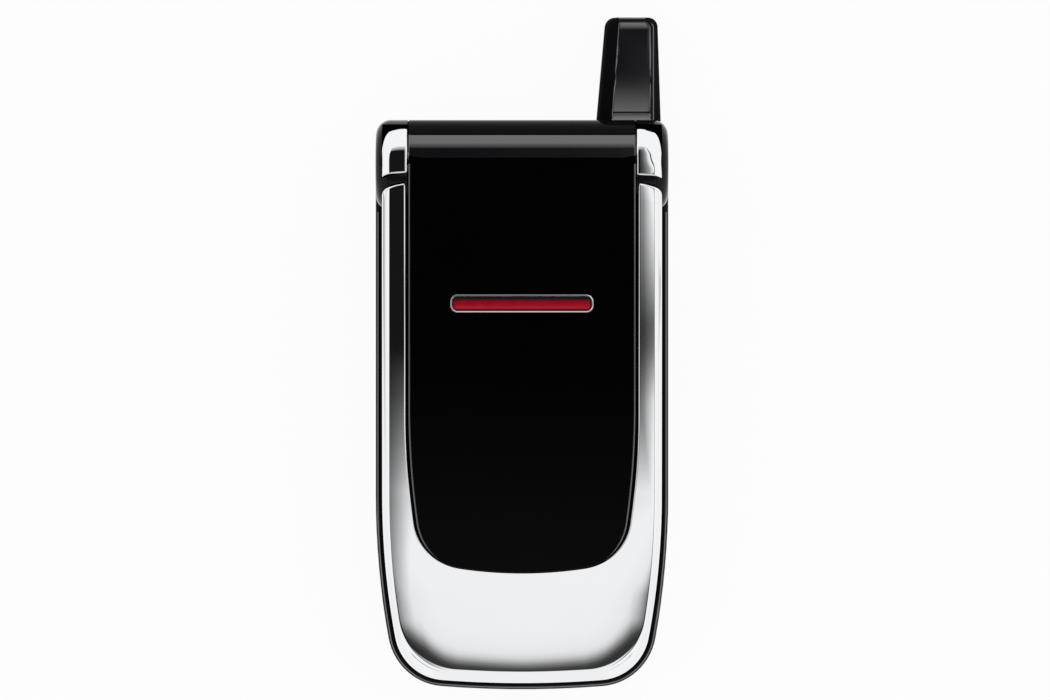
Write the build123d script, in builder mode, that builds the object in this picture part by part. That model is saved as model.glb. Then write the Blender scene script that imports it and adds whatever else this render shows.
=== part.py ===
"""Clamshell telephone with a stub antenna, lying closed on its back. Millimetres.

+Z is the thickness, with the back face at z = 0 and the lid on top. +Y runs along
the phone towards the hinge and the antenna, and +X is to the right, seen from above.
"""
import os
from math import cos, hypot, radians, sin, sqrt, tan

from build123d import *

# --- outline of the body and the lid, seen from above ---
body_length = 85.5
body_half_width = 22.0
end_radius = 154.6            # arc across the bottom end
corner_radius = 8.8           # arcs at the two bottom corners
side_radius = 120.7           # arcs that lead into the straight sides
side_start = 29.2             # where the sides become straight, from the bottom end
rear_corner_radius = 2.2
lid_rim = 0.85                # how far the body stands out round the lid

# --- thicknesses, from the back face upwards ---
phone_thickness = 22.5
back_edge_radius = 2.0
cover_thickness = 1.2
floor_low = 5.9               # ceiling of the battery bay
floor_thickness = 0.8
board_low = 8.6
board_thickness = 1.0
dome_sheet_thickness = 0.25
dome_height = 0.15
mat_thickness = 0.95
fascia_thickness = 1.2
base_top = 13.2
lid_gap = 0.4                 # air between the closed lid and the keypad face
body_wall = 1.6
top_edge_radius = 0.6

# --- hinge ---
barrel_radius = 6.8
ear_width = 5.1               # from the barrel's ends to the body's sides
hinge_clearance = 0.35        # between the lid's and the body's round faces
open_angle = 155.0
ear_gap = 0.2                 # between the barrel's ends and the ears
cap_rim = 0.95                # of the ear's side that shows beside its chrome cap
shaft_radius = 2.0
cartridge_radius = 4.2
cartridge_length = 18.0
barrel_bore_radius = 4.4
bush_bore_radius = 3.3
bush_length = 3.5
flex_slot_width = 7.0         # way from the barrel into the lid
flex_slot_gap = 1.4           # from that slot to the bush
flex_radius = 3.0
flex_thickness = 0.4
running_fit = 0.05

# --- lid ---
lid_crown_radius = 1070.0     # lengthwise curve of the lid's top
lid_skin = 1.4                # thickness of the chrome frame and the window
lid_wall = 1.3
inner_shell_thickness = 1.2
chrome_skirt_low = 15.9       # lower edge of the chrome frame's sides
chin_start = 17.4             # from the bottom end to where the chin starts to slope more
chin_slope = 5.0              # degrees that the chin slopes beyond the crown
slope_width = 3.0             # soft slope of the chrome face
slope_drop = 0.5
bevel = 1.1                   # bright bevel round the chrome frame
skirt_thickness = 1.2         # of the chrome frame's sides

# --- window in the lid, as wide as the barrel ---
window_end_radius = 61.4
window_corner_radius = 7.8
window_side_radius = 123.5
window_low = 17.45            # from the body's bottom end to the window's
window_side_start = 25.0      # from the window's bottom end
window_gap = 0.15
window_wrap_angle = 42.0      # how far the window follows the barrel past its top

# --- light bar in the window ---
light_bar_length = 21.7
light_bar_width = 2.74
light_bar_rim = 0.45
light_bar_from_hinge = 20.75
light_bar_corner = 1.1

# --- display and sound in the lid ---
display_side = 5.5            # from the display to the body's side
display_height = 41.0
display_y = -3.5
display_thickness = 2.5
display_margin = 1.2
earpiece_from_end = 8.6
earpiece_width = 10.0
earpiece_height = 5.0
sound_slot_width = 8.0
sound_slot_height = 1.4
bumper_radius = 1.6

# --- battery and its cover ---
battery_side = 5.0            # from the battery to the body's side
battery_length = 44.0
battery_thickness = 4.4
battery_y = -5.0
battery_clearance = 0.2
cover_side = 3.15             # from the cover to the body's side
cover_from_end = 18.75        # from the cover's upper edge to the hinge end
cover_clearance = 0.15
tongue_width = 0.7
tongue_thickness = 0.5
latch_width = 7.6
latch_height = 3.4

# --- keys ---
column_side = 5.45            # from the outer columns' keys to the body's side
key_gap_x = 1.1
key_gap_y = 1.3
key_rise = 0.1                # key tops above the keypad face
key_clearance = 0.15
key_flange = 0.3
key_flange_thickness = 0.6
key_flange_gap = 0.1
key_travel = 0.4
key_corner_radius = 1.2
plunger_radius = 0.8
dome_radius = 2.0
first_row_from_end = 8.55
call_row_gap = 15.7           # what the call keys leave between them and four rows of keys
side_key_side = 3.8           # from the side keys to the body's side
side_key_gap = 2.8            # from the side keys to the navigation ring
side_key_height = 8.2
side_key_step = 5.8           # from the ring's middle to the side keys' middles
nav_from_hinge = 25.55
nav_radius = 8.0
nav_bore = 4.4
nav_flange = 0.4
nav_clearance = 0.25
nav_sink = 0.2                # the ring's top below the keypad face, room for its tilt
select_radius = 3.9
gimbal_width = 2.4
gimbal_thickness = 0.4
gimbal_room = 0.3             # depth of the groove over the gimbal, and its side clearance

# --- antenna ---
antenna_length = 15.75        # beyond the hinge end
antenna_low_z = 1.5
antenna_high_z = 9.8
antenna_side = 1.2            # from its root to the body's side
antenna_root_width = 9.6
antenna_top_width = 8.2
antenna_lean = 0.3            # of its right side
antenna_edge = 1.7
antenna_core_radius = 1.5

# --- sockets at the bottom end ---
socket_side = 14.5            # from the sockets' middles to the body's sides
charger_radius = 1.75
headset_radius = 1.25
charger_shorter = 2.0         # than the headset socket
socket_end_room = 1.15        # behind the headset socket's bore
socket_z = 5.4
socket_wall = 1.2
socket_mouth_clearance = 0.6

# --- small parts ---
screw_radius = 0.7
boss_radius = 1.25
screw_head_radius = 1.3
screw_head_height = 0.6
screw_clearance = 0.1
speaker_radius = 6.0
speaker_height = 3.0
speaker_side = 10.5           # from its middle to the body's side
speaker_from_end = 8.45
mesh_thickness = 0.2
motor_radius = 2.1
motor_length = 9.0
motor_side = 20.5             # from the motor's inner end to the body's side
motor_from_end = 8.25
weight_length = 3.2
weight_gap = 0.3

# --- places that follow from the sizes above ---
body_low = -body_length / 2
body_high = body_length / 2
hinge_y = body_high - barrel_radius
hinge_z = phone_thickness - barrel_radius
barrel_half_length = body_half_width - ear_width
window_half_width = barrel_half_length
bush_start = barrel_half_length - bush_length
ear_inner = barrel_half_length + ear_gap
ear_outer = body_half_width - 0.15
socket_radius = barrel_radius + hinge_clearance      # round hollows that face a round part
lid_low_z = base_top + lid_gap
inner_shell_top = lid_low_z + inner_shell_thickness
floor_top = floor_low + floor_thickness
board_top = board_low + board_thickness
dome_top = board_top + dome_sheet_thickness + dome_height
fascia_low = base_top - fascia_thickness
main_cavity_end = hinge_y - sqrt(socket_radius**2 - (base_top - hinge_z) ** 2) - 1.3
battery_width = 2 * (body_half_width - battery_side)
display_width = 2 * (body_half_width - display_side)
cover_half_width = body_half_width - cover_side
cover_top = body_high - cover_from_end
rear_cavity_start = cover_top + 1.5
rear_floor = cover_thickness + 0.3
end_cavity_end = battery_y - battery_length / 2 - 2.5
end_floor = cover_thickness + cover_clearance + 1.0
socket_start = body_low + body_wall + 0.5
headset_depth = end_cavity_end - socket_start - socket_end_room
charger_depth = headset_depth - charger_shorter
charger_x = socket_side - body_half_width
headset_x = body_half_width - socket_side
speaker_x = speaker_side - body_half_width
speaker_y = body_high - speaker_from_end
motor_x = body_half_width - motor_side
motor_y = body_high - motor_from_end
light_bar_y = hinge_y - light_bar_from_hinge
earpiece_y = body_low + earpiece_from_end
antenna_top = body_high + antenna_length
antenna_right_root = body_half_width - antenna_side
antenna_left_root = antenna_right_root - antenna_root_width
antenna_right_top = antenna_right_root - antenna_lean
antenna_left_top = antenna_right_top - antenna_top_width
antenna_mid_z = (antenna_low_z + antenna_high_z) / 2
antenna_mid_x = (antenna_left_root + antenna_right_root) / 2
key_flange_top = fascia_low - key_flange_gap
key_flange_low = key_flange_top - key_flange_thickness
plunger_low = dome_top + key_travel + 0.05
nav_y = hinge_y - nav_from_hinge
nav_top = base_top - nav_sink
call_row = nav_y - side_key_step
soft_row = nav_y + side_key_step
first_row = body_low + first_row_from_end
key_pitch_x = (2 * (body_half_width - column_side) + key_gap_x) / 3
key_pitch_y = (call_row - first_row - call_row_gap) / 3
key_width = key_pitch_x - key_gap_x
key_height = key_pitch_y - key_gap_y
side_key_inner = nav_radius + side_key_gap
side_key_outer = body_half_width - side_key_side
side_key_x = (side_key_inner + side_key_outer) / 2
side_key_width = side_key_outer - side_key_inner
gimbal_length = 2 * (nav_radius - 1.5)
number_rows = [first_row + row * key_pitch_y for row in range(4)]
number_columns = [-key_pitch_x, 0, key_pitch_x]
far = body_length


def four_places(upper_side, upper_y, lower_side, lower_y):
    """A screw near each corner, given by distances from the body's sides and by y."""
    upper_x = body_half_width - upper_side
    lower_x = body_half_width - lower_side
    return [(-upper_x, upper_y), (upper_x, upper_y), (-lower_x, lower_y), (lower_x, lower_y)]


lid_screw_places = four_places(4.6, hinge_y - 12.95, 8.4, body_low + 6.15)
base_screw_places = four_places(4.0, hinge_y - 12.75, 10.0, body_low + 3.65)


def save(part, name):
    """Label a finished part and write its file."""
    part.label = name
    export_step(part, f"parts/{name}.step")


def unit(dx, dy):
    size = hypot(dx, dy)
    return dx / size, dy / size


def arc_on(centre, radius, start, end):
    """The short arc of a circle between two of its points."""
    middle_x = (start[0] + end[0]) / 2 - centre[0]
    middle_y = (start[1] + end[1]) / 2 - centre[1]
    ux, uy = unit(middle_x, middle_y)
    middle = (centre[0] + ux * radius, centre[1] + uy * radius)
    return ThreePointArc(start, middle, end)


def tongue_outline(half_width, low, start, radii, high, inset):
    """A shape with straight sides and a rounded lower end made of tangent arcs."""
    end_r, corner_r, side_r = radii
    end_centre = (0, low + end_r)
    side_centre = (half_width - side_r, low + start)
    gap_x = side_centre[0] - end_centre[0]
    gap_y = side_centre[1] - end_centre[1]
    gap = hypot(gap_x, gap_y)
    to_end = end_r - corner_r
    to_side = side_r - corner_r
    along = (to_end**2 - to_side**2 + gap**2) / (2 * gap)
    aside = sqrt(to_end**2 - along**2)
    ux, uy = gap_x / gap, gap_y / gap
    corner = (end_centre[0] + ux * along - uy * aside, end_centre[1] + uy * along + ux * aside)
    if corner[0] < 0 or corner[1] > side_centre[1]:
        corner = (end_centre[0] + ux * along + uy * aside, end_centre[1] + uy * along - ux * aside)
    end_x, end_y = unit(corner[0] - end_centre[0], corner[1] - end_centre[1])
    side_x, side_y = unit(corner[0] - side_centre[0], corner[1] - side_centre[1])
    first = (end_centre[0] + end_x * (end_r - inset), end_centre[1] + end_y * (end_r - inset))
    second = (side_centre[0] + side_x * (side_r - inset), side_centre[1] + side_y * (side_r - inset))
    third = (half_width - inset, side_centre[1])
    top = (half_width - inset, high)
    with BuildSketch() as outline:
        with BuildLine():
            arc_on(corner, corner_r - inset, first, second)
            arc_on(side_centre, side_r - inset, second, third)
            Line(third, top)
            mirror(about=Plane.YZ)
            ThreePointArc((-first[0], first[1]), (0, low + inset), first)
            Line((-top[0], top[1]), top)
        make_face()
    return outline.sketch


def body_outline(inset=0.0, high=body_high):
    """The body seen from above, up to y = high."""
    radii = (end_radius, corner_radius, side_radius)
    return tongue_outline(body_half_width, body_low, side_start, radii, high, inset)


def window_outline(grow=0.0, high=body_high):
    """The window seen from above, up to y = high."""
    radii = (window_end_radius, window_corner_radius, window_side_radius)
    low = body_low + window_low
    return tongue_outline(window_half_width, low, window_side_start, radii, high, -grow)


def hinge_bar(radius, x_from, x_to, mode=Mode.ADD):
    """A round bar on the hinge axis."""
    bar_align = (Align.CENTER, Align.CENTER, Align.MIN)
    with Locations(Location((x_from, hinge_y, hinge_z), (0, 90, 0))):
        Cylinder(radius, x_to - x_from, align=bar_align, mode=mode)


def box_between(low, high, mode=Mode.ADD):
    """A box given by its lowest and highest corners."""
    size = [b - a for a, b in zip(low, high)]
    with Locations(tuple((a + b) / 2 for a, b in zip(low, high))):
        Box(*size, mode=mode)


def column(places, radius, z_from, z_to, mode=Mode.ADD):
    """Round upright bars at a list of places."""
    bar_align = (Align.CENTER, Align.CENTER, Align.MIN)
    with Locations([(x, y, z_from) for x, y in places]):
        Cylinder(radius, z_to - z_from, align=bar_align, mode=mode)


def rounded_plate(places, width, height, corner, z_from, z_to, mode=Mode.ADD):
    """Upright blocks with a rounded rectangular outline."""
    with BuildPart() as plates:
        with BuildSketch(Plane.XY.offset(z_from)):
            with Locations(places):
                RectangleRounded(width, height, corner)
        extrude(amount=z_to - z_from)
    add(plates.part, mode=mode)


def around_hinge(angle, radius):
    """A point (y, z) round the hinge, its angle counted from straight up towards the rear."""
    turn = radians(angle)
    return hinge_y + radius * sin(turn), hinge_z + radius * cos(turn)


def crown_height(y, depth=0.0):
    """Height of the window's crowned top, sunk by depth."""
    radius = lid_crown_radius - depth
    return phone_thickness - lid_crown_radius + sqrt(radius**2 - (y - hinge_y) ** 2)


def lid_top(y, depth=0.0):
    """Height of the chrome's top: the crown, and below it a chin that slopes more."""
    chin_y = body_low + chin_start
    if y >= chin_y:
        return crown_height(y, depth)
    slope = (hinge_y - chin_y) / lid_crown_radius + tan(radians(chin_slope))
    return crown_height(chin_y, depth) - (chin_y - y) * slope


def crown_block(depth):
    """Everything under the chrome's top, sunk by depth."""
    chin_y = body_low + chin_start
    low_y = body_low - 5
    with BuildPart() as block:
        with BuildSketch(Plane.YZ.offset(-far)):
            with BuildLine():
                start = (chin_y, lid_top(chin_y, depth))
                middle = (0, lid_top(0, depth))
                end = (hinge_y, lid_top(hinge_y, depth))
                ThreePointArc(start, middle, end)
                Polyline(end, (hinge_y, 0), (low_y, 0), (low_y, lid_top(low_y, depth)), start)
            make_face()
        extrude(amount=2 * far)
    return block.part


def window_slab():
    """The window's section along the phone, drawn out over the barrel's width."""
    start_y = body_low
    wrap = window_wrap_angle
    with BuildPart() as slab:
        with BuildSketch(Plane.YZ.offset(-barrel_half_length)):
            with BuildLine():
                low_start = (start_y, crown_height(start_y, lid_skin))
                high_start = (start_y, crown_height(start_y))
                high_end = around_hinge(0, barrel_radius)
                low_end = around_hinge(0, barrel_radius - lid_skin)
                high_tip = around_hinge(wrap, barrel_radius)
                low_tip = around_hinge(wrap, barrel_radius - lid_skin)
                ThreePointArc(high_start, (0, crown_height(0)), high_end)
                ThreePointArc(high_end, around_hinge(wrap / 2, barrel_radius), high_tip)
                Line(high_tip, low_tip)
                ThreePointArc(low_tip, around_hinge(wrap / 2, barrel_radius - lid_skin), low_end)
                ThreePointArc(low_end, (0, crown_height(0, lid_skin)), low_start)
                Line(low_start, high_start)
            make_face()
        extrude(amount=2 * barrel_half_length)
    return slab.part


def base_block():
    """The body's outside without the hinge: outline, rounded back and softened top edge."""
    with BuildPart() as block:
        with BuildSketch(Plane.XY):
            add(body_outline())
        extrude(amount=base_top)
        fillet(block.edges().filter_by(Axis.Z).sort_by(Axis.Y)[-2:], rear_corner_radius)
        fillet(block.faces().sort_by(Axis.Z)[0].edges(), back_edge_radius)
        fillet(block.faces().sort_by(Axis.Z)[-1].edges(), top_edge_radius)
    return block.part


def cap_sector():
    """The chrome cap that covers the top of the right ear."""
    ear_plane = Plane(origin=(0, hinge_y, hinge_z), x_dir=(1, 0, 0), z_dir=(0, -1, 0))
    inner = ear_inner
    outer = ear_outer - cap_rim
    with BuildPart() as sector:
        with BuildSketch(ear_plane):
            with BuildLine():
                round_centre = (ear_outer - rear_corner_radius, barrel_radius - rear_corner_radius)
                reach = sqrt(rear_corner_radius**2 - (outer - round_centre[0]) ** 2)
                Polyline(
                    (round_centre[0], barrel_radius),
                    (inner, barrel_radius),
                    (inner, barrel_radius - 0.8),
                    (outer, barrel_radius - 2.3),
                    (outer, round_centre[1] + reach),
                )
                arc_on(
                    round_centre,
                    rear_corner_radius,
                    (outer, round_centre[1] + reach),
                    (round_centre[0], barrel_radius),
                )
            make_face()
        hinge_line = Axis((0, hinge_y, hinge_z), (1, 0, 0))
        revolve(axis=hinge_line, revolution_arc=360)
        # the front edge runs slightly forward towards the side, the rear edge stays inside the rim
        with BuildSketch(Plane.XY.offset(hinge_z)):
            Polygon(
                (ear_inner, hinge_y - 1.05),
                (ear_outer, hinge_y - 2.35),
                (ear_outer, body_high - 0.75),
                (ear_inner, body_high - 0.75),
                align=None,
            )
        extrude(amount=barrel_radius * 2, mode=Mode.INTERSECT)
    return sector.part


def mirrored(part):
    """The same part on the other side of the phone."""
    return mirror(part, about=Plane.YZ, mode=Mode.PRIVATE)


# ---------------------------------------------------------------- body


def lid_sweep():
    """The room that the open lid takes behind the barrel, down to its outer face."""
    along_y, along_z = -cos(radians(open_angle)), sin(radians(open_angle))
    out_y, out_z = sin(radians(open_angle)), cos(radians(open_angle))

    def corner(along, out):
        return hinge_y + along * along_y + out * out_y, hinge_z + along * along_z + out * out_z

    with BuildPart() as sweep:
        with BuildSketch(Plane.YZ.offset(-body_half_width - 1)):
            Polygon(
                corner(0, -far / 4),
                corner(far / 2, -far / 4),
                corner(far / 2, socket_radius),
                corner(0, socket_radius),
                align=None,
            )
        extrude(amount=2 * body_half_width + 2)
    return sweep.part


def right_ear():
    """The hinge ear that stands on the body beside the barrel, before its cap's seat is cut."""
    ear_plane = Plane(origin=(0, hinge_y, hinge_z), x_dir=(1, 0, 0), z_dir=(0, -1, 0))
    with BuildPart() as ear:
        with BuildSketch(ear_plane):
            with BuildLine():
                bend = rear_corner_radius
                Line((ear_inner, 0), (ear_inner, barrel_radius))
                Line((ear_inner, barrel_radius), (ear_outer - bend, barrel_radius))
                arc_on(
                    (ear_outer - bend, barrel_radius - bend),
                    bend,
                    (ear_outer - bend, barrel_radius),
                    (ear_outer, barrel_radius - bend),
                )
                Line((ear_outer, barrel_radius - bend), (ear_outer, 0))
                Line((ear_outer, 0), (ear_inner, 0))
            make_face()
        revolve(axis=Axis((0, hinge_y, hinge_z), (1, 0, 0)))
    return ear.part


def cover_section(half_width, tongue_half_width, tongue_low, top, low):
    """The battery cover's T-shaped section, or the recess for it."""
    Polygon(
        (-half_width, low),
        (half_width, low),
        (half_width, tongue_low),
        (tongue_half_width, tongue_low),
        (tongue_half_width, top),
        (-tongue_half_width, top),
        (-tongue_half_width, tongue_low),
        (-half_width, tongue_low),
        align=None,
    )


def build_rear_shell(block, ear, cap):
    gap = cover_clearance
    tongue_low = cover_thickness - tongue_thickness
    bay_width = battery_width + 2 * battery_clearance
    bay_length = battery_length + 2 * battery_clearance
    with BuildPart() as rear_shell:
        add(block)
        add(lid_sweep(), mode=Mode.SUBTRACT)
        hinge_bar(socket_radius, -ear_inner, ear_inner, mode=Mode.SUBTRACT)
        add(ear)
        add(mirrored(ear))
        # main hollow for the board and the keypad
        with BuildSketch(Plane.XY.offset(floor_top)):
            add(body_outline(body_wall, main_cavity_end))
        extrude(amount=base_top, mode=Mode.SUBTRACT)
        # hollow under the hinge and hollow at the bottom end
        rear_half_width = body_half_width - body_wall - 0.4
        rear_end = body_high - body_wall
        trough_floor = hinge_z - socket_radius - 1.2
        box_between(
            (-rear_half_width, rear_cavity_start, rear_floor),
            (rear_half_width, rear_end, trough_floor),
            mode=Mode.SUBTRACT,
        )
        with BuildSketch(Plane.XY.offset(end_floor)):
            add(body_outline(body_wall))
            with Locations((0, end_cavity_end)):
                Rectangle(far, far, align=(Align.CENTER, Align.MAX), mode=Mode.INTERSECT)
        extrude(amount=floor_top - end_floor, mode=Mode.SUBTRACT)
        # battery bay and the recess that the cover slides in
        box_between(
            (-bay_width / 2, battery_y - bay_length / 2, 0),
            (bay_width / 2, battery_y + bay_length / 2, floor_low),
            mode=Mode.SUBTRACT,
        )
        with BuildSketch(Plane.XZ.offset(-cover_top - gap)):
            cover_section(
                cover_half_width + gap,
                cover_half_width + tongue_width + gap,
                tongue_low - gap,
                cover_thickness + gap,
                -1,
            )
        extrude(amount=cover_top + gap - body_low + 5, mode=Mode.SUBTRACT)
        # seat of the battery's contact block, open to the bay
        contact_y = battery_y + bay_length / 2
        box_between((-5.0, contact_y - 1, 2.0), (5.0, contact_y + 3.2, 5.4), mode=Mode.SUBTRACT)
        # posts for the two screws at the bottom end
        low_posts = base_screw_places[2:]
        column(low_posts, boss_radius, end_floor - 0.2, board_low)
        column(base_screw_places, screw_radius + screw_clearance, 0, board_low + 1, mode=Mode.SUBTRACT)
        head_seat = cover_thickness + gap + screw_head_height + 0.1
        column(base_screw_places, screw_head_radius + screw_clearance, 0, head_seat, mode=Mode.SUBTRACT)
        # latch window, sound slots, microphone hole
        rounded_plate(
            [(0, latch_y())],
            latch_width + 2 * gap,
            latch_height + 2 * gap,
            1.0,
            -1,
            rear_floor + 1,
            mode=Mode.SUBTRACT,
        )
        slots = [(speaker_x, speaker_y + step * 1.8) for step in (-2, -1, 0, 1, 2)]
        with BuildSketch(Plane.XY.offset(-1)):
            with Locations(slots):
                SlotOverall(6.5, 0.8)
        extrude(amount=rear_floor + 2, mode=Mode.SUBTRACT)
        with BuildSketch(Plane.XZ.offset(-body_low - 4)):
            with Locations((0, socket_z)):
                Circle(0.5)
            with Locations((charger_x, socket_z)):
                Circle(charger_radius + socket_mouth_clearance)
            with Locations((headset_x, socket_z)):
                Circle(headset_radius + socket_mouth_clearance)
        extrude(amount=8, mode=Mode.SUBTRACT)
        # hole for the antenna's root
        box_between(
            (antenna_mid_x - 2.5, rear_end - 1, antenna_mid_z - 2.5),
            (antenna_mid_x + 2.5, body_high + 1, antenna_mid_z + 1.7),
            mode=Mode.SUBTRACT,
        )
        # shaft hole in the left ear, flex hole in the right one, seats of the chrome caps
        hinge_bar(shaft_radius, -ear_outer + 1.0, -ear_inner + 1, mode=Mode.SUBTRACT)
        hinge_bar(flex_radius, ear_inner - 1, ear_outer - 1.4, mode=Mode.SUBTRACT)
        add(cap, mode=Mode.SUBTRACT)
        add(mirrored(cap), mode=Mode.SUBTRACT)
    save(rear_shell.part, "rear_shell")


def latch_y():
    return rear_cavity_start + latch_height / 2 + 0.9


def build_cover(block):
    tongue_low = cover_thickness - tongue_thickness
    with BuildPart() as battery_cover:
        with BuildSketch(Plane.XZ.offset(-cover_top)):
            tongue_half = cover_half_width + tongue_width
            cover_section(cover_half_width, tongue_half, tongue_low, cover_thickness, 0)
        extrude(amount=cover_top - body_low)
        add(block, mode=Mode.INTERSECT)
        grip_rows = [(0, cover_top - 3.0 - row * 1.6) for row in range(4)]
        with BuildSketch(Plane.XY):
            with Locations(grip_rows):
                SlotOverall(12.0, 0.7)
        extrude(amount=0.25, mode=Mode.SUBTRACT)
    save(battery_cover.part, "battery_cover")


def build_latch():
    flange_low = rear_floor + 0.1
    with BuildPart() as cover_latch:
        rounded_plate([(0, latch_y())], latch_width, latch_height, 0.9, 0.15, flange_low)
        rounded_plate([(0, latch_y())], latch_width + 1.6, latch_height + 1.2, 0.9, flange_low, flange_low + 0.6)
        with BuildSketch(Plane.XY.offset(0.15)):
            with Locations((0, latch_y())):
                SlotOverall(4.0, 0.8)
        extrude(amount=0.25, mode=Mode.SUBTRACT)
    save(cover_latch.part, "cover_latch")


def build_battery():
    low = cover_thickness + 0.15
    with BuildPart() as battery_pack:
        rounded_plate([(0, battery_y)], battery_width, battery_length, 1.5, low, low + battery_thickness)
        fillet(battery_pack.edges().group_by(Axis.Z)[-1], 0.5)
    save(battery_pack.part, "battery_pack")


def build_battery_connector():
    start = battery_y + battery_length / 2 + battery_clearance
    with BuildPart() as battery_connector:
        box_between((-4.9, start + 0.3, 2.1), (4.9, start + 3.15, 5.3))
        for x in (-3.2, 0, 3.2):
            box_between((x - 0.5, start - 0.15, 2.9), (x + 0.5, start + 0.5, 4.3))
    save(battery_connector.part, "battery_connector")


def build_antenna():
    neck_start = body_high - body_wall - 0.5
    with BuildPart() as antenna_cover:
        with BuildSketch(Plane.XY.offset(antenna_low_z)):
            Polygon(
                (antenna_left_root, body_high + 0.02),
                (antenna_right_root, body_high + 0.02),
                (antenna_right_top, antenna_top),
                (antenna_left_top, antenna_top),
                align=None,
            )
        extrude(amount=antenna_high_z - antenna_low_z)
        top_corners = antenna_cover.edges().filter_by(Axis.Z).sort_by(Axis.Y)[-2:]
        fillet(top_corners, antenna_edge + 0.1)
        rims = antenna_cover.faces().sort_by(Axis.Z)
        for face in (rims[0], rims[-1]):
            edges = face.edges().filter_by(lambda edge: (edge @ 0.5).Y > body_high + 0.5)
            fillet(edges, antenna_edge)
        box_between(
            (antenna_mid_x - 2.4, neck_start, antenna_mid_z - 2.4),
            (antenna_mid_x + 2.4, body_high + 0.5, antenna_mid_z + 1.6),
        )
        with BuildSketch(Plane.XZ.offset(-neck_start + 1)):
            with Locations((antenna_mid_x, antenna_mid_z - 0.4)):
                Circle(antenna_core_radius + 0.05)
        extrude(amount=-(antenna_top - 4.0 - neck_start + 1), mode=Mode.SUBTRACT)
    save(antenna_cover.part, "antenna_cover")

    with BuildPart() as antenna_core:
        with BuildSketch(Plane.XZ.offset(-neck_start + 4.5)):
            with Locations((antenna_mid_x, antenna_mid_z - 0.4)):
                Circle(antenna_core_radius)
        extrude(amount=-(antenna_top - 4.3 - neck_start + 4.5))
        foot_y = neck_start - 3.3
        box_between(
            (antenna_mid_x - 1.4, foot_y, rear_floor + 0.02),
            (antenna_mid_x + 1.4, foot_y + 1.6, antenna_mid_z - 0.6),
        )
    save(antenna_core.part, "antenna_core")


def build_caps(cap):
    with BuildPart() as hinge_caps:
        add(cap)
        add(mirrored(cap))
    save(hinge_caps.part, "hinge_caps")


# ---------------------------------------------------------------- inside the body


def build_board():
    with BuildPart() as main_board:
        with BuildSketch(Plane.XY.offset(board_low)):
            add(body_outline(body_wall + 0.2, main_cavity_end - 0.2))
            with Locations(base_screw_places):
                Circle(screw_radius + 3 * screw_clearance, mode=Mode.SUBTRACT)
        extrude(amount=board_thickness)
    save(main_board.part, "main_board")

    can_low = floor_top + 0.2
    can_side = battery_width / 2
    upper_y, lower_y = nav_y + 1.6, body_low + 18.75
    # left edge, right edge, middle along the phone, half length
    cans = [
        (-can_side, -2.0, upper_y, 6.0),
        (2.0, can_side - 1.0, upper_y, 6.0),
        (-can_side, -2.0, lower_y, 4.0),
    ]
    with BuildPart() as shield_cans:
        for left, right, y, half in cans:
            box_between((left, y - half, can_low), (right, y + half, board_low))
            inside = 0.3
            box_between(
                (left + inside, y - half + inside, can_low + inside),
                (right - inside, y + half - inside, board_low),
                mode=Mode.SUBTRACT,
            )
    save(shield_cans.part, "shield_cans")

    # middle of each chip and its width
    chips = [
        (5.0 - can_side, upper_y, 6.5),
        (11.5 - can_side, upper_y, 4.5),
        (can_side - 8.0, upper_y, 7.5),
        (7.5 - can_side, lower_y, 5.5),
        (can_side - 8.0, lower_y, 6.0),
    ]
    with BuildPart() as board_chips:
        for x, y, width in chips:
            box_between((x - width / 2, y - width / 2, board_low - 1.0), (x + width / 2, y + width / 2, board_low))
    save(board_chips.part, "board_chips")

    with BuildPart() as sim_holder:
        box_between((-9.0, -17.0, can_low), (9.0, 1.0, board_low))
        box_between((-7.6, -17.5, can_low + 0.4), (7.6, -1.0, can_low + 1.3), mode=Mode.SUBTRACT)
    save(sim_holder.part, "sim_holder")


def dome_places():
    number_places = [(x, y) for x in number_columns for y in number_rows]
    side_places = [(side * side_key_x, y) for side in (-1, 1) for y in (call_row, soft_row)]
    return number_places + side_places + [(0, nav_y)]


def nav_dome_places():
    reach = nav_radius - 1.8
    return [(reach, nav_y), (-reach, nav_y), (0, nav_y + reach), (0, nav_y - reach)]


def build_keypad_layers():
    layer_end = main_cavity_end - 1.5
    with BuildPart() as dome_sheet:
        with BuildSketch(Plane.XY.offset(board_top)):
            add(body_outline(body_wall + 1.4, layer_end))
            with Locations(base_screw_places):
                Circle(boss_radius + 0.3, mode=Mode.SUBTRACT)
        extrude(amount=dome_sheet_thickness)
        column(dome_places() + nav_dome_places(), dome_radius, board_top, dome_top)
    save(dome_sheet.part, "dome_sheet")

    with BuildPart() as keypad_mat:
        with BuildSketch(Plane.XY.offset(board_top + dome_sheet_thickness)):
            add(body_outline(body_wall + 1.4, layer_end))
            with Locations(base_screw_places):
                Circle(boss_radius + 0.3, mode=Mode.SUBTRACT)
            with Locations(dome_places()):
                Circle(dome_radius + 0.2, mode=Mode.SUBTRACT)
            with Locations((0, nav_y)):
                Circle(nav_radius + nav_flange + 0.3, mode=Mode.SUBTRACT)
        extrude(amount=mat_thickness)
    save(keypad_mat.part, "keypad_mat")

    with BuildPart() as keypad_fascia:
        with BuildSketch(Plane.XY.offset(fascia_low)):
            add(body_outline(body_wall + 0.1, main_cavity_end - 0.1))
            with Locations([(x, y) for x in number_columns for y in number_rows]):
                key_opening(key_width, key_height)
            with Locations([(side * side_key_x, y) for side in (-1, 1) for y in (call_row, soft_row)]):
                key_opening(side_key_width, side_key_height)
            with Locations((0, nav_y)):
                Circle(nav_radius + nav_clearance, mode=Mode.SUBTRACT)
        extrude(amount=fascia_thickness)
        column(base_screw_places, boss_radius, board_top, fascia_low)
        hole_top = fascia_low + fascia_thickness / 2
        column(base_screw_places, screw_radius + 0.02, board_top, hole_top, mode=Mode.SUBTRACT)
    save(keypad_fascia.part, "keypad_fascia")


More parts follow.
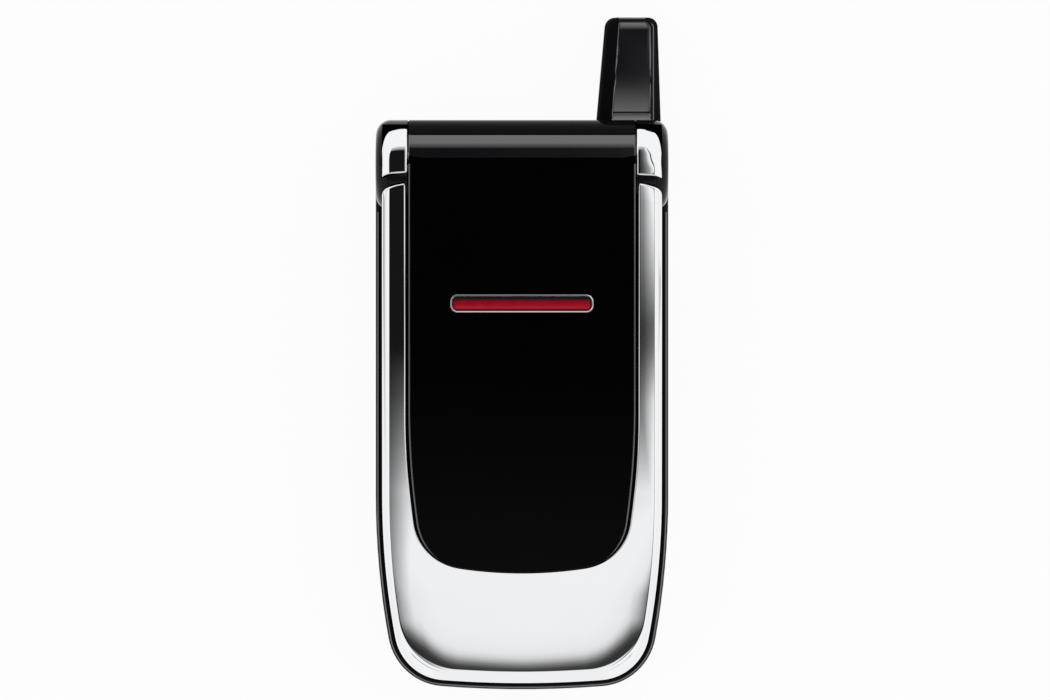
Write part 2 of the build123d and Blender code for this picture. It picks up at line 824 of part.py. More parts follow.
def key_opening(width, height):
    RectangleRounded(
        width + 2 * key_clearance,
        height + 2 * key_clearance,
        key_corner_radius + key_clearance,
        mode=Mode.SUBTRACT,
    )


def build_key(name, x, y, width, height):
    """One key: the cap that shows, the flange that holds it in and the plunger over its dome."""
    flange = 2 * key_flange
    with BuildPart() as key:
        rounded_plate([(x, y)], width, height, key_corner_radius, key_flange_top, base_top + key_rise)
        fillet(key.faces().sort_by(Axis.Z)[-1].edges(), 0.3)
        rounded_plate(
            [(x, y)],
            width + flange,
            height + flange,
            key_corner_radius,
            key_flange_low,
            key_flange_top,
        )
        column([(x, y)], plunger_radius, plunger_low, key_flange_low)
    save(key.part, name)


def build_keys():
    names = [
        ["key_star", "key_0", "key_hash"],
        ["key_7", "key_8", "key_9"],
        ["key_4", "key_5", "key_6"],
        ["key_1", "key_2", "key_3"],
    ]
    for row, y in enumerate(number_rows):
        for column_index, x in enumerate(number_columns):
            build_key(names[row][column_index], x, y, key_width, key_height)
    build_key("call_key", -side_key_x, call_row, side_key_width, side_key_height)
    build_key("end_key", side_key_x, call_row, side_key_width, side_key_height)
    build_key("soft_key_left", -side_key_x, soft_row, side_key_width, side_key_height)
    build_key("soft_key_right", side_key_x, soft_row, side_key_width, side_key_height)


def build_navigation():
    ring_low = key_flange_low - nav_flange
    with BuildPart() as navigation_ring:
        column([(0, nav_y)], nav_radius, ring_low + key_flange_thickness, nav_top)
        fillet(navigation_ring.faces().sort_by(Axis.Z)[-1].edges(), 0.4)
        column([(0, nav_y)], nav_radius + nav_flange, ring_low, ring_low + key_flange_thickness)
        column([(0, nav_y)], nav_bore, ring_low, base_top + 1, mode=Mode.SUBTRACT)
        # two trunnions that rest on the ends of the gimbal bar
        for side in (-1, 1):
            box_between(
                (side * nav_bore - 0.6, nav_y - 0.5, ring_low),
                (side * nav_bore + 0.6, nav_y + 0.5, ring_low + key_flange_thickness),
            )
        column([(0, nav_y)], select_radius + 0.3, ring_low - 1, base_top + 1, mode=Mode.SUBTRACT)
    save(navigation_ring.part, "navigation_ring")

    gimbal_top = ring_low - 0.08
    with BuildPart() as navigation_gimbal:
        rounded_plate([(0, nav_y)], gimbal_length, gimbal_width, 0.5, gimbal_top - gimbal_thickness, gimbal_top)
        column([(0, nav_y)], plunger_radius + 0.3, gimbal_top - 1, gimbal_top + 1, mode=Mode.SUBTRACT)
    save(navigation_gimbal.part, "navigation_gimbal")

    with BuildPart() as select_key:
        column([(0, nav_y)], select_radius, key_flange_low, base_top + key_rise)
        fillet(select_key.faces().sort_by(Axis.Z)[-1].edges(), 0.4)
        # groove over the gimbal bar, deep enough for its tilt
        groove = gimbal_width / 2 + gimbal_room
        box_between(
            (-select_radius - 1, nav_y - groove, key_flange_low - 1),
            (select_radius + 1, nav_y + groove, key_flange_low + gimbal_room),
            mode=Mode.SUBTRACT,
        )
        column([(0, nav_y)], plunger_radius, plunger_low, key_flange_low + gimbal_room)
    save(select_key.part, "select_key")


def build_sound_and_vibration():
    with BuildPart() as speaker_mesh:
        column([(speaker_x, speaker_y)], speaker_radius - 0.6, rear_floor, rear_floor + mesh_thickness)
    save(speaker_mesh.part, "speaker_mesh")

    speaker_low = rear_floor + mesh_thickness
    with BuildPart() as loudspeaker:
        column([(speaker_x, speaker_y)], speaker_radius, speaker_low, speaker_low + speaker_height)
        fillet(loudspeaker.faces().sort_by(Axis.Z)[-1].edges(), 0.6)
        column([(speaker_x, speaker_y)], speaker_radius * 0.55, speaker_low, speaker_low + speaker_height + 0.6)
    save(loudspeaker.part, "loudspeaker")

    with BuildPart() as vibration_motor:
        with BuildSketch(Plane.YZ.offset(motor_x)):
            with Locations((motor_y, rear_floor + motor_radius)):
                Circle(motor_radius)
        extrude(amount=motor_length)
        with BuildSketch(Plane.YZ.offset(motor_x + motor_length)):
            with Locations((motor_y, rear_floor + motor_radius)):
                Circle(0.4)
        extrude(amount=weight_gap + weight_length)
    save(vibration_motor.part, "vibration_motor")

    with BuildPart() as vibration_weight:
        with BuildSketch(Plane.YZ.offset(motor_x + motor_length + weight_gap)):
            with Locations((motor_y, rear_floor + motor_radius)):
                Circle(motor_radius - 0.25)
                Rectangle(
                    2 * motor_radius,
                    motor_radius,
                    align=(Align.CENTER, Align.MIN),
                    mode=Mode.SUBTRACT,
                )
                Circle(0.9)
                Circle(0.4 + running_fit, mode=Mode.SUBTRACT)
        extrude(amount=weight_length)
    save(vibration_weight.part, "vibration_weight")

    with BuildPart() as microphone:
        start = body_low + body_wall + 0.15
        with BuildSketch(Plane.XZ.offset(-start)):
            with Locations((0, socket_z)):
                Circle(2.0)
        extrude(amount=-2.2)
        box_between((-1.6, start + 0.4, socket_z), (1.6, start + 2.2, board_low))
    save(microphone.part, "microphone")


def build_socket(name, x, radius, depth):
    """A round socket under the board, its mouth in the bottom end's wall."""
    half = radius + socket_wall
    with BuildPart() as socket:
        box_between((x - half, socket_start, end_floor + 0.05), (x + half, socket_start + depth + 1.0, board_low))
        with BuildSketch(Plane.XZ.offset(-socket_start)):
            with Locations((x, socket_z)):
                Circle(radius)
        extrude(amount=-depth, mode=Mode.SUBTRACT)
    save(socket.part, name)


def build_screws():
    head_low = cover_thickness + cover_clearance + 0.1
    tip = fascia_low + fascia_thickness / 2 - 0.3
    with BuildPart() as base_screws:
        column(base_screw_places, screw_head_radius, head_low, head_low + screw_head_height)
        column(base_screw_places, screw_radius, head_low, tip)
        with BuildSketch(Plane.XY.offset(head_low)):
            with Locations(base_screw_places):
                Rectangle(1.5, 0.35)
                Rectangle(0.35, 1.5)
        extrude(amount=0.3, mode=Mode.SUBTRACT)
    save(base_screws.part, "base_screws")


# ---------------------------------------------------------------- hinge


def build_hinge():
    start = -barrel_half_length + 0.3
    with BuildPart() as hinge_cartridge:
        hinge_bar(cartridge_radius, start, start + cartridge_length)
        hinge_bar(shaft_radius + running_fit, start - 1, start + cartridge_length - 2, mode=Mode.SUBTRACT)
        key_low = hinge_z - cartridge_radius - 0.1
        box_between((start + 2, hinge_y - 0.6, key_low), (start + cartridge_length - 2, hinge_y + 0.6, key_low + 1))
    save(hinge_cartridge.part, "hinge_cartridge")

    with BuildPart() as hinge_shaft:
        hinge_bar(shaft_radius, -ear_outer + 1.05, start + cartridge_length - 2.3)
    save(hinge_shaft.part, "hinge_shaft")

    with BuildPart() as hinge_bush:
        hinge_bar(barrel_bore_radius, bush_start, barrel_half_length - 0.1)
        hinge_bar(bush_bore_radius, bush_start - 1, barrel_half_length + 1, mode=Mode.SUBTRACT)
    save(hinge_bush.part, "hinge_bush")

    with BuildPart() as hinge_flex:
        hinge_bar(flex_radius, bush_start - 5, ear_outer - 1.5)
        hinge_bar(flex_radius - flex_thickness, bush_start - 6, ear_outer, mode=Mode.SUBTRACT)
    save(hinge_flex.part, "hinge_flex")


# ---------------------------------------------------------------- lid


def shoulders(mode):
    """The round hollows at the lid's rear corners that pass over the ears."""
    hinge_bar(socket_radius, barrel_half_length, body_half_width + 1, mode=mode)
    hinge_bar(socket_radius, -body_half_width - 1, -barrel_half_length, mode=mode)


def light_bar_block(grow, depth, mode):
    """The light bar's outline, from above the window down to a depth."""
    length = light_bar_length + 2 * grow
    width = light_bar_width + 2 * grow
    low = phone_thickness - depth
    rounded_plate([(0, light_bar_y)], length, width, light_bar_corner + grow, low, phone_thickness + 1, mode)


def build_front_frame(crown, core):
    """The chrome U: outline minus window, a soft outward slope and a bevel round the outside."""
    with BuildPart() as lid_front_frame:
        with BuildSketch(Plane.XY.offset(chrome_skirt_low)):
            add(body_outline(lid_rim, hinge_y))
        extrude(amount=phone_thickness)
        add(crown, mode=Mode.INTERSECT)
        top = lid_front_frame.faces().sort_by(Axis.Z)[-1]
        rim = top.edges().filter_by(lambda edge: (edge @ 0.5).Y < hinge_y - 0.01)
        chamfer(rim, slope_width + bevel, slope_drop, reference=top)
        sides = lid_front_frame.faces().filter_by(is_outer_side)
        chamfer([side.edges().sort_by(Axis.Z)[-1] for side in sides], bevel)
        with BuildSketch(Plane.XY.offset(chrome_skirt_low)):
            add(window_outline(window_gap))
        extrude(amount=phone_thickness, mode=Mode.SUBTRACT)
        add(core, mode=Mode.SUBTRACT)
        shoulders(Mode.SUBTRACT)
    save(lid_front_frame.part, "lid_front_frame")


def is_outer_side(face):
    """An upright face of the lid, apart from the straight cut at the hinge."""
    return abs(face.normal_at().Z) < 0.01 and face.center().Y < hinge_y - 0.01


def lid_core(inset, crown):
    """The solid under the lid's skin."""
    with BuildPart() as core:
        with BuildSketch(Plane.XY.offset(inner_shell_top)):
            add(body_outline(lid_rim + inset, hinge_y))
        extrude(amount=phone_thickness)
        add(crown, mode=Mode.INTERSECT)
    return core.part


def build_outer_shell(core, slab):
    """The black shell under the chrome and the window, with the hinge barrel."""
    inner_inset = lid_rim + lid_wall + skirt_thickness
    ceiling = crown_block(2 * lid_skin - 0.2)
    with BuildPart() as inside:
        with BuildSketch(Plane.XY.offset(lid_low_z)):
            add(body_outline(inner_inset, hinge_y - barrel_radius - 1.2))
        extrude(amount=phone_thickness)
        add(ceiling, mode=Mode.INTERSECT)
    with BuildPart() as lid_outer_shell:
        with BuildSketch(Plane.XY.offset(inner_shell_top)):
            add(body_outline(lid_rim, hinge_y))
        extrude(amount=chrome_skirt_low - inner_shell_top)
        add(core)
        shoulders(Mode.SUBTRACT)
        box_between(
            (-barrel_half_length, hinge_y - 0.6 * barrel_radius, crown_height(0, lid_skin)),
            (barrel_half_length, hinge_y, phone_thickness),
            mode=Mode.SUBTRACT,
        )
        hinge_bar(barrel_radius, -barrel_half_length, barrel_half_length)
        add(slab, mode=Mode.SUBTRACT)
        add(inside.part, mode=Mode.SUBTRACT)
        hinge_bar(barrel_bore_radius, -body_half_width, body_half_width, mode=Mode.SUBTRACT)
        # way for the flex from the barrel into the lid, and the cartridge's key slot
        flex_low = hinge_z + 0.6
        slot_start = hinge_y - barrel_radius - 2
        slot_end = bush_start - flex_slot_gap
        box_between(
            (slot_end - flex_slot_width, slot_start, flex_low),
            (slot_end, hinge_y, flex_low + 1.2),
            mode=Mode.SUBTRACT,
        )
        key_low = hinge_z - barrel_bore_radius - 0.5
        box_between(
            (-barrel_half_length - 1, hinge_y - 0.7, key_low),
            (cartridge_length - barrel_half_length, hinge_y + 0.7, hinge_z),
            mode=Mode.SUBTRACT,
        )
        light_bar_block(-light_bar_rim + 0.05, 2 * lid_skin + 1, Mode.SUBTRACT)
        post_radius = screw_radius + 1.2
        for x, y in lid_screw_places:
            post_top = lid_top(y, lid_skin) - 0.4
            column([(x, y)], post_radius, inner_shell_top, post_top)
            column([(x, y)], screw_radius + 0.02, inner_shell_top - 1, post_top - 1, mode=Mode.SUBTRACT)
    save(lid_outer_shell.part, "lid_outer_shell")


def build_window(slab):
    with BuildPart() as lid_window:
        with BuildSketch(Plane.XY.offset(lid_low_z)):
            add(window_outline())
        extrude(amount=phone_thickness)
        add(slab, mode=Mode.INTERSECT)
        light_bar_block(0, lid_skin + 1, Mode.SUBTRACT)
    save(lid_window.part, "lid_window")


def build_light_bar(crown):
    """The thin chrome ring in the window and the red lens inside it."""
    with BuildPart() as light_bar_ring:
        light_bar_block(0, lid_skin - 0.1 + phone_thickness - crown_height(light_bar_y), Mode.ADD)
        light_bar_block(-light_bar_rim, lid_skin + 2, Mode.SUBTRACT)
        add(crown, mode=Mode.INTERSECT)
    save(light_bar_ring.part, "light_bar_ring")

    lens_depth = 2 * lid_skin + 0.4
    with BuildPart() as light_bar_lens:
        light_bar_block(-light_bar_rim, lens_depth, Mode.ADD)
        add(crown_block(0.35), mode=Mode.INTERSECT)
    save(light_bar_lens.part, "light_bar_lens")


def build_inner_shell():
    """The black face that looks at the keypad, with openings for the display and the earpiece."""
    end = hinge_y - barrel_radius - 0.4
    with BuildPart() as lid_inner_shell:
        with BuildSketch(Plane.XY.offset(lid_low_z)):
            add(body_outline(lid_rim, end))
        extrude(amount=inner_shell_thickness)
        fillet(lid_inner_shell.faces().sort_by(Axis.Z)[0].edges(), 0.4)
        low = lid_low_z - 1
        rounded_plate(
            [(0, display_y)],
            display_width + 0.2,
            display_height + 0.2,
            1.1,
            low,
            phone_thickness,
            mode=Mode.SUBTRACT,
        )
        with BuildSketch(Plane.XY.offset(low)):
            with Locations((0, earpiece_y)):
                SlotOverall(sound_slot_width, sound_slot_height)
        extrude(amount=inner_shell_thickness + 2, mode=Mode.SUBTRACT)
        shoulders(Mode.SUBTRACT)
        seat = bumper_radius + 0.05
        column(lid_screw_places, seat, low, lid_low_z + 0.35, mode=Mode.SUBTRACT)
        column(lid_screw_places, screw_head_radius + 0.1, low, lid_low_z + 0.75, mode=Mode.SUBTRACT)
        column(lid_screw_places, screw_radius + screw_clearance, low, phone_thickness, mode=Mode.SUBTRACT)
    save(lid_inner_shell.part, "lid_inner_shell")


def build_lid_fasteners():
    head_low = lid_low_z + 0.4
    with BuildPart() as lid_screws:
        for x, y in lid_screw_places:
            tip = lid_top(y, lid_skin) - 2.0
            column([(x, y)], screw_radius, head_low, tip)
        column(lid_screw_places, screw_head_radius, head_low - 0.05, head_low + 0.3)
    save(lid_screws.part, "lid_screws")

    with BuildPart() as lid_bumpers:
        column(lid_screw_places, bumper_radius, base_top + 0.1, lid_low_z + 0.34)
        fillet(lid_bumpers.edges().group_by(Axis.Z)[0], 0.2)
    save(lid_bumpers.part, "lid_bumpers")


def build_display():
    with BuildPart() as display_lens:
        rounded_plate([(0, display_y)], display_width, display_height, 1.0, lid_low_z + 0.05, inner_shell_top)
    save(display_lens.part, "display_lens")

    margin = 2 * display_margin
    module_top = inner_shell_top + display_thickness
    width = display_width + margin
    height = display_height + margin
    with BuildPart() as display_module:
        rounded_plate([(0, display_y)], width, height, 0.8, inner_shell_top, module_top)
    save(display_module.part, "display_module")

    board_height = display_height - 1.0
    with BuildPart() as lid_board:
        box_between(
            (-width / 2 + 1, light_bar_y + 4.5 - board_height, module_top),
            (width / 2 - 1, light_bar_y + 4.5, module_top + 0.6),
        )
        # light source under the light bar
        lens_low = phone_thickness - 2 * lid_skin - 0.4
        box_between((-8.0, light_bar_y - 0.7, module_top + 0.6), (8.0, light_bar_y + 0.7, lens_low - 0.1))
    save(lid_board.part, "lid_board")


def build_earpiece():
    with BuildPart() as earpiece_mesh:
        with BuildSketch(Plane.XY.offset(inner_shell_top - 0.5)):
            with Locations((0, earpiece_y)):
                SlotOverall(sound_slot_width - 0.05, sound_slot_height - 0.05)
        extrude(amount=0.5)
    save(earpiece_mesh.part, "earpiece_mesh")

    earpiece_top = lid_top(earpiece_y - earpiece_height / 2, 2 * lid_skin - 0.2) - 0.3
    with BuildPart() as earpiece:
        place = [(0, earpiece_y)]
        rounded_plate(place, earpiece_width, earpiece_height, 1.5, inner_shell_top, earpiece_top)
    save(earpiece.part, "earpiece")

    with BuildPart() as lid_magnet:
        column([(9.0, earpiece_y)], 1.5, inner_shell_top, inner_shell_top + 1.0)
    save(lid_magnet.part, "lid_magnet")


# ---------------------------------------------------------------- everything


def main():
    os.makedirs("parts", exist_ok=True)
    block = base_block()
    cap = cap_sector()
    build_rear_shell(block, right_ear(), cap)
    build_cover(block)
    build_caps(cap)
    build_latch()
    build_battery()
    build_battery_connector()
    build_antenna()
    build_board()
    build_keypad_layers()
    build_keys()
    build_navigation()
    build_sound_and_vibration()
    build_socket("charger_socket", charger_x, charger_radius, charger_depth)
    build_socket("headset_socket", headset_x, headset_radius, headset_depth)
    build_screws()
    build_hinge()
    crown = crown_block(0)
    core = lid_core(skirt_thickness, crown_block(lid_skin))
    slab = window_slab()
    build_front_frame(crown, core)
    build_outer_shell(core, slab)
    build_window(slab)
    build_light_bar(crown)
    build_inner_shell()
    build_lid_fasteners()
    build_display()
    build_earpiece()


main()
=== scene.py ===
"""Looks of the clamshell phone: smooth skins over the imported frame, finishes, light and camera."""
import math

import bmesh
import bpy
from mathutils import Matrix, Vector
from mathutils.geometry import delaunay_2d_cdt


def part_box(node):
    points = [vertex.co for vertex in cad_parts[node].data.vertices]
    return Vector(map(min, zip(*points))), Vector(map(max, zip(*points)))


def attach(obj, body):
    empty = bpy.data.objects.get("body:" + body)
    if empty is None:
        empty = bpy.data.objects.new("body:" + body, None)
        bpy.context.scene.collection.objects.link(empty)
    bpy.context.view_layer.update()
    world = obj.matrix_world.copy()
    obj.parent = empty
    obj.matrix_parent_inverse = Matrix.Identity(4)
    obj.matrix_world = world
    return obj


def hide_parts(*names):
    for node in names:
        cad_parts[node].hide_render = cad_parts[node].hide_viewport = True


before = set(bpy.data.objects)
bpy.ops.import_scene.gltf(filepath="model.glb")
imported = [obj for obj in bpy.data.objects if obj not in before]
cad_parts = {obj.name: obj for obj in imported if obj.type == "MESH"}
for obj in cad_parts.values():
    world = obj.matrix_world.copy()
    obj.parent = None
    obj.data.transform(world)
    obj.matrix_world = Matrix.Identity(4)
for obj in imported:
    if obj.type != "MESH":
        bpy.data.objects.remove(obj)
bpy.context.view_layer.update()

MM = 0.001

# --- sizes in millimetres, the frame's own ---
BODY_LOW, BODY_HIGH = -42.75, 42.75
BODY_HALF_WIDTH = 22.0
BODY_SIDE_START = 29.2               # how far above the chin's end the sides run straight
BODY_ARCS = (154.6, 8.8, 120.7)      # radii of the chin's end, its corners and the swelling sides
THICKNESS = 22.5
BARREL_RADIUS = 6.8
HINGE_Y = BODY_HIGH - BARREL_RADIUS
HINGE_Z = THICKNESS - BARREL_RADIUS
EAR_OUTER = BODY_HALF_WIDTH - 0.15
REAR_CORNER = 2.2                    # rounding of the ears' outer corners

CROWN_RADIUS = 1070.0                # the lid's slow curve from the hinge to the chin
CHIN_SLOPE = math.tan(math.radians(5.0))
CHIN_FROM, CHIN_REACH = 4.0, 32.0    # where the chin's slope starts and over what length it grows
LID_RIM = 1.15                       # from the body's outline in to the chrome's
SKIRT_LOW = 15.9                     # where the chrome's outer wall ends
END_CLEARANCE = 0.54                 # between the chrome's ends and the ears
SIDE_BEVEL, FRONT_BEVEL = 1.08, 1.48
CREASE_CORNER = 9.0

WINDOW_HALF_WIDTH = 16.9
WINDOW_LOW = BODY_LOW + 17.85
WINDOW_SIDE_START = 24.6
WINDOW_ARCS = (61.4, 7.8, 123.5)
WINDOW_TOP = HINGE_Y + BARREL_RADIUS * math.radians(40.6)    # unrolled round the barrel
WINDOW_SINK = 0.012
WINDOW_DEEP = 1.3
GRID_ACROSS, GRID_ALONG, GRID_ROUND = 1.5, 2.0, 0.35    # the last one round the barrel

LIGHT_BAR_Y = HINGE_Y - 20.75
LIGHT_BAR_SIZE = (21.22, 2.62)
LIGHT_BAR_CORNER = 1.0
BEAD_WIDTH = 0.2
LENS_SIZE = (20.5, 1.52)
LENS_CORNER = 0.42
LENS_MIDDLE = (-0.04, LIGHT_BAR_Y - 0.15)
LENS_SINK = 0.34
WELL_DEEP = 1.6

CAP_FROM, CAP_TO = 17.0, 20.78
CAP_TOP_Y = 41.35
CAP_HIGH = 22.47
CAP_LOWEST_Y = {"left": 34.66, "right": 34.36}
CAP_CORNER_Y, CAP_CORNER_WIDE = 38.4, 1.68
CAP_SWELL = 0.19                     # how far the caps stand proud of the ears in front

ANTENNA_TIP = 58.495
ANTENNA_LEDGE = 44.1
ANTENNA_LOW, ANTENNA_HIGH = 1.55, 9.45
FACET_TIP = ANTENNA_TIP - 0.68

RIM_BEAD_LEVEL = 13.12
RIM_BEAD_TOP = 29.0
RIM_BEAD_INSET = 0.3

# --- the display's picture area and the key labels ---
PICTURE_Y = -3.5
PICTURE_HALF = (14.2, 17.6)
LABEL_SIZE = 4.1
LABEL_THICK = 0.02
LABEL_SINK = 0.01

FLOOR_LEVEL = -0.05
FLOOR_HALF = 700.0
FLOOR_GLOW = 0.94                    # how much of the floor is plain white to camera and mirrors

# --- how finely the curves are divided ---
LINE_STEPS = 40
SIDE_STEPS = 36
CORNER_STEPS = 36
END_STEPS = 30
LIP_STEPS = 9
FACE_STEPS = 30
BAR_CORNER_STEPS = 10
# distances from the top end of a straight side, and where its even steps give way to them
NEAR_TOP = (2.2, 1.8, 1.4, 1.0, 0.6, 0.35, 0.24, 0.17, 0.11, 0.06, 0.025, 0.0)
LINE_STOP = 2.6


# ---------------------------------------- mesh helpers


def add_object(name, data):
    obj = bpy.data.objects.new(name, data)
    bpy.context.scene.collection.objects.link(obj)
    return obj


def mesh_object(bm, name, sharp_degrees=35.0):
    """Turns a bmesh in millimetres into a smooth-shaded object in metres."""
    bmesh.ops.recalc_face_normals(bm, faces=bm.faces)
    bmesh.ops.scale(bm, vec=(MM, MM, MM), verts=bm.verts)
    mesh = bpy.data.meshes.new(name)
    bm.to_mesh(mesh)
    bm.free()
    mesh.shade_smooth()
    mesh.set_sharp_from_angle(angle=math.radians(sharp_degrees))
    return add_object(name, mesh)


def skin_rows(bm, rows, close_path=False):
    """Quads between closed rows of points with equal counts; returns the rows of vertices."""
    grid = [[bm.verts.new(point) for point in row] for row in rows]
    count = len(grid[0])
    row_pairs = list(zip(grid, grid[1:]))
    if close_path:
        row_pairs.append((grid[-1], grid[0]))
    for low, high in row_pairs:
        for index in range(count):
            following = (index + 1) % count
            bm.faces.new((low[index], low[following], high[following], high[index]))
    return grid


def tube(name, rows, sharp_degrees=35.0, close_path=False):
    """A closed body through cross-sections, capped at its ends unless the path closes."""
    bm = bmesh.new()
    grid = skin_rows(bm, rows, close_path)
    if not close_path:
        bm.faces.new(grid[0])
        bm.faces.new(list(reversed(grid[-1])))
    return mesh_object(bm, name, sharp_degrees)


def arc(centre, radius, start, end, steps):
    """Points (a, b) along an arc, angles in degrees."""
    points = []
    for step in range(steps + 1):
        angle = math.radians(start + (end - start) * step / steps)
        points.append((centre[0] + radius * math.cos(angle), centre[1] + radius * math.sin(angle)))
    return points


def smoothstep(low, high, value):
    share = min(max((value - low) / (high - low), 0.0), 1.0)
    return share * share * (3 - 2 * share)


def roll_off(drop, distance, reach):
    """How far a rolled edge falls back: by the whole drop at its end, by nothing past its reach."""
    return drop * max(0.0, 1 - distance / reach) ** 2


def rounding(distance, radius):
    """How far a round edge falls back at a distance from its end."""
    if distance >= radius:
        return 0.0
    return radius - math.sqrt(max(radius**2 - (radius - distance) ** 2, 0.0))


# ---------------------------------------- outlines


def outline_circles(half_width, low, start, radii):
    """The right half of an outline as three circles, end, corner and side, that touch smoothly."""
    end_r, corner_r, side_r = radii
    end_centre = Vector((0, low + end_r))
    side_centre = Vector((half_width - side_r, low + start))
    gap = side_centre - end_centre
    along = ((end_r - corner_r) ** 2 - (side_r - corner_r) ** 2 + gap.length**2) / (2 * gap.length)
    aside = math.sqrt((end_r - corner_r) ** 2 - along**2)
    ahead = gap.normalized()
    foot, offset = end_centre + ahead * along, Vector((-ahead.y, ahead.x)) * aside
    corner = foot + offset
    if corner.x < 0 or corner.y > side_centre.y:
        corner = foot - offset
    end_turn = math.atan2(corner.y - end_centre.y, corner.x - end_centre.x)
    side_turn = math.atan2(corner.y - side_centre.y, corner.x - side_centre.x)
    return end_centre, corner, side_centre, end_turn, side_turn


def outline_rays(half_width, low, start, radii, high):
    """The outline as rays (centre, direction, radius), from its top left round to its top right."""
    circles = outline_circles(half_width, low, start, radii)
    end_centre, corner, side_centre, end_turn, side_turn = circles
    right = []
    for centre, radius, first, last, steps in (
        (end_centre, radii[0], -math.pi / 2, end_turn, END_STEPS),
        (corner, radii[1], end_turn, side_turn, CORNER_STEPS),
        (side_centre, radii[2], side_turn, 0.0, SIDE_STEPS),
    ):
        for step in range(steps):
            angle = first + (last - first) * step / steps
            right.append((centre, Vector((math.cos(angle), math.sin(angle))), radius))
    length = high - side_centre.y
    stations = [(length - LINE_STOP) * step / LINE_STEPS for step in range(LINE_STEPS + 1)]
    stations += [length - left for left in NEAR_TOP]
    for station in stations:
        right.append((Vector((0, side_centre.y + station)), Vector((1, 0)), half_width))
    left = [(Vector((-c.x, c.y)), Vector((-d.x, d.y)), r) for c, d, r in reversed(right[1:])]
    return left + right


def ray_point(ray, inset):
    centre, direction, radius = ray
    return centre + direction * (radius - inset)


def body_rays(high):
    return outline_rays(BODY_HALF_WIDTH, BODY_LOW, BODY_SIDE_START, BODY_ARCS, high)


def window_rays(high):
    return outline_rays(WINDOW_HALF_WIDTH, WINDOW_LOW, WINDOW_SIDE_START, WINDOW_ARCS, high)


CREASE_HALF_WIDTH = BODY_HALF_WIDTH - LID_RIM - SIDE_BEVEL
CREASE_ARCS = (
    BODY_ARCS[0] - LID_RIM - FRONT_BEVEL, CREASE_CORNER, BODY_ARCS[2] - LID_RIM - SIDE_BEVEL
)
CREASE_CIRCLES = outline_circles(
    CREASE_HALF_WIDTH, BODY_LOW + LID_RIM + FRONT_BEVEL,
    BODY_SIDE_START - LID_RIM - FRONT_BEVEL, CREASE_ARCS,
)
BEVEL_LIMITS = (0.5, 4.0)
BEVEL_HALVINGS = 40


def inside_crease(point):
    """How far a point lies inside the chrome's soft crease, less than zero out on the bevel."""
    end_centre, corner, side_centre, end_turn, side_turn = CREASE_CIRCLES
    spot = Vector((abs(point[0]), point[1]))
    if spot.y >= side_centre.y:
        return CREASE_HALF_WIDTH - spot.x
    from_side = spot - side_centre
    if math.atan2(from_side.y, from_side.x) >= side_turn:
        return CREASE_ARCS[2] - from_side.length
    from_end = spot - end_centre
    if math.atan2(from_end.y, from_end.x) <= end_turn:
        return CREASE_ARCS[0] - from_end.length
    return CREASE_ARCS[1] - (spot - corner).length


def bevel_width(ray):
    """How wide the bevel is along one of the outline's rays."""
    low, high = BEVEL_LIMITS
    for _ in range(BEVEL_HALVINGS):
        middle = (low + high) / 2
        if inside_crease(ray_point(ray, LID_RIM + middle)) < 0:
            low = middle
        else:
            high = middle
    return low


# ---------------------------------------- the lid's chrome

PILLOW_WIDTH, PILLOW_WIDER = 6.0, 3.2         # at the sides, and what the chin adds to it
PILLOW_CHIN = (-20.0, -38.0)                  # the y from which and by which the chin adds it
PILLOW_OFFSET, PILLOW_DROP = 0.3, 0.62

LIP_RADIUS, LIP_RADIUS_SIDE = 0.14, 0.16      # at the chin, and what the sides add to it
LIP_GAP, LIP_GAP_SIDE = 0.06, 0.36            # from the window out to the lip, likewise
LIP_END_DEGREES = 96
LIP_SINK = 0.05
LIP_DEEP, CREASE_DEEP = 1.15, 1.2

# The bevel's profile in steps outwards from the crease: shares of the bevel's width, and the fall
# in mm at the sides, where the bevel is SIDE_BEVEL wide, and at the front and the chin's corners,
# where the fall is for a width of FALL_WIDTH. There, the short flat step from 0.76 to 0.73
# between two steep ones is the hairline.
BEVEL_PARTS = (0.94, 0.87, 0.78, 0.76, 0.73, 0.71, 0.56, 0.38, 0.24, 0.14, 0.07, 0.02, 0.0)
SIDE_FALL = (0.025, 0.055, 0.0975, 0.107, 0.12, 0.13, 0.205, 0.3, 0.393, 0.5, 0.64, 0.84, 1.1)
FRONT_FALL = (0.079, 0.171, 0.29, 0.316, 0.321, 0.347, 0.545, 0.783, 0.968, 1.1, 1.195, 1.3, 1.45)
CORNER_FALL = (0.06, 0.13, 0.22, 0.24, 0.245, 0.265, 0.415, 0.595, 0.735, 0.84, 0.93, 1.05, 1.25)
FALL_WIDTH = 1.65
FORWARD_FULL = 0.75                           # a ray's forward share from which it counts as front
CORNER_FALL_X = (8.0, 15.0)                   # where the front's fall turns into the corners'
FRONT_BEVEL_X = (11.0, 17.5)                  # where the front's bevel turns into the sides'
ROLLED_BEVEL_POINTS = 8
END_GAP = 0.05
END_CORNER_X, END_CORNER_CUT = (20.0, 21.2), 0.7    # where and by how much the ends' corners recede


def crown(y):
    return THICKNESS - CROWN_RADIUS + math.sqrt(CROWN_RADIUS**2 - (y - HINGE_Y) ** 2)


def chin_drop(y):
    """How far the chrome falls below the crown: its slope grows, then stays even on the chin."""
    share = (CHIN_FROM - y) / CHIN_REACH
    if share <= 0:
        return 0.0
    if share <= 1:
        return CHIN_SLOPE * CHIN_REACH * share**4 / 4
    return CHIN_SLOPE * (CHIN_REACH / 4 + CHIN_REACH * (share - 1))


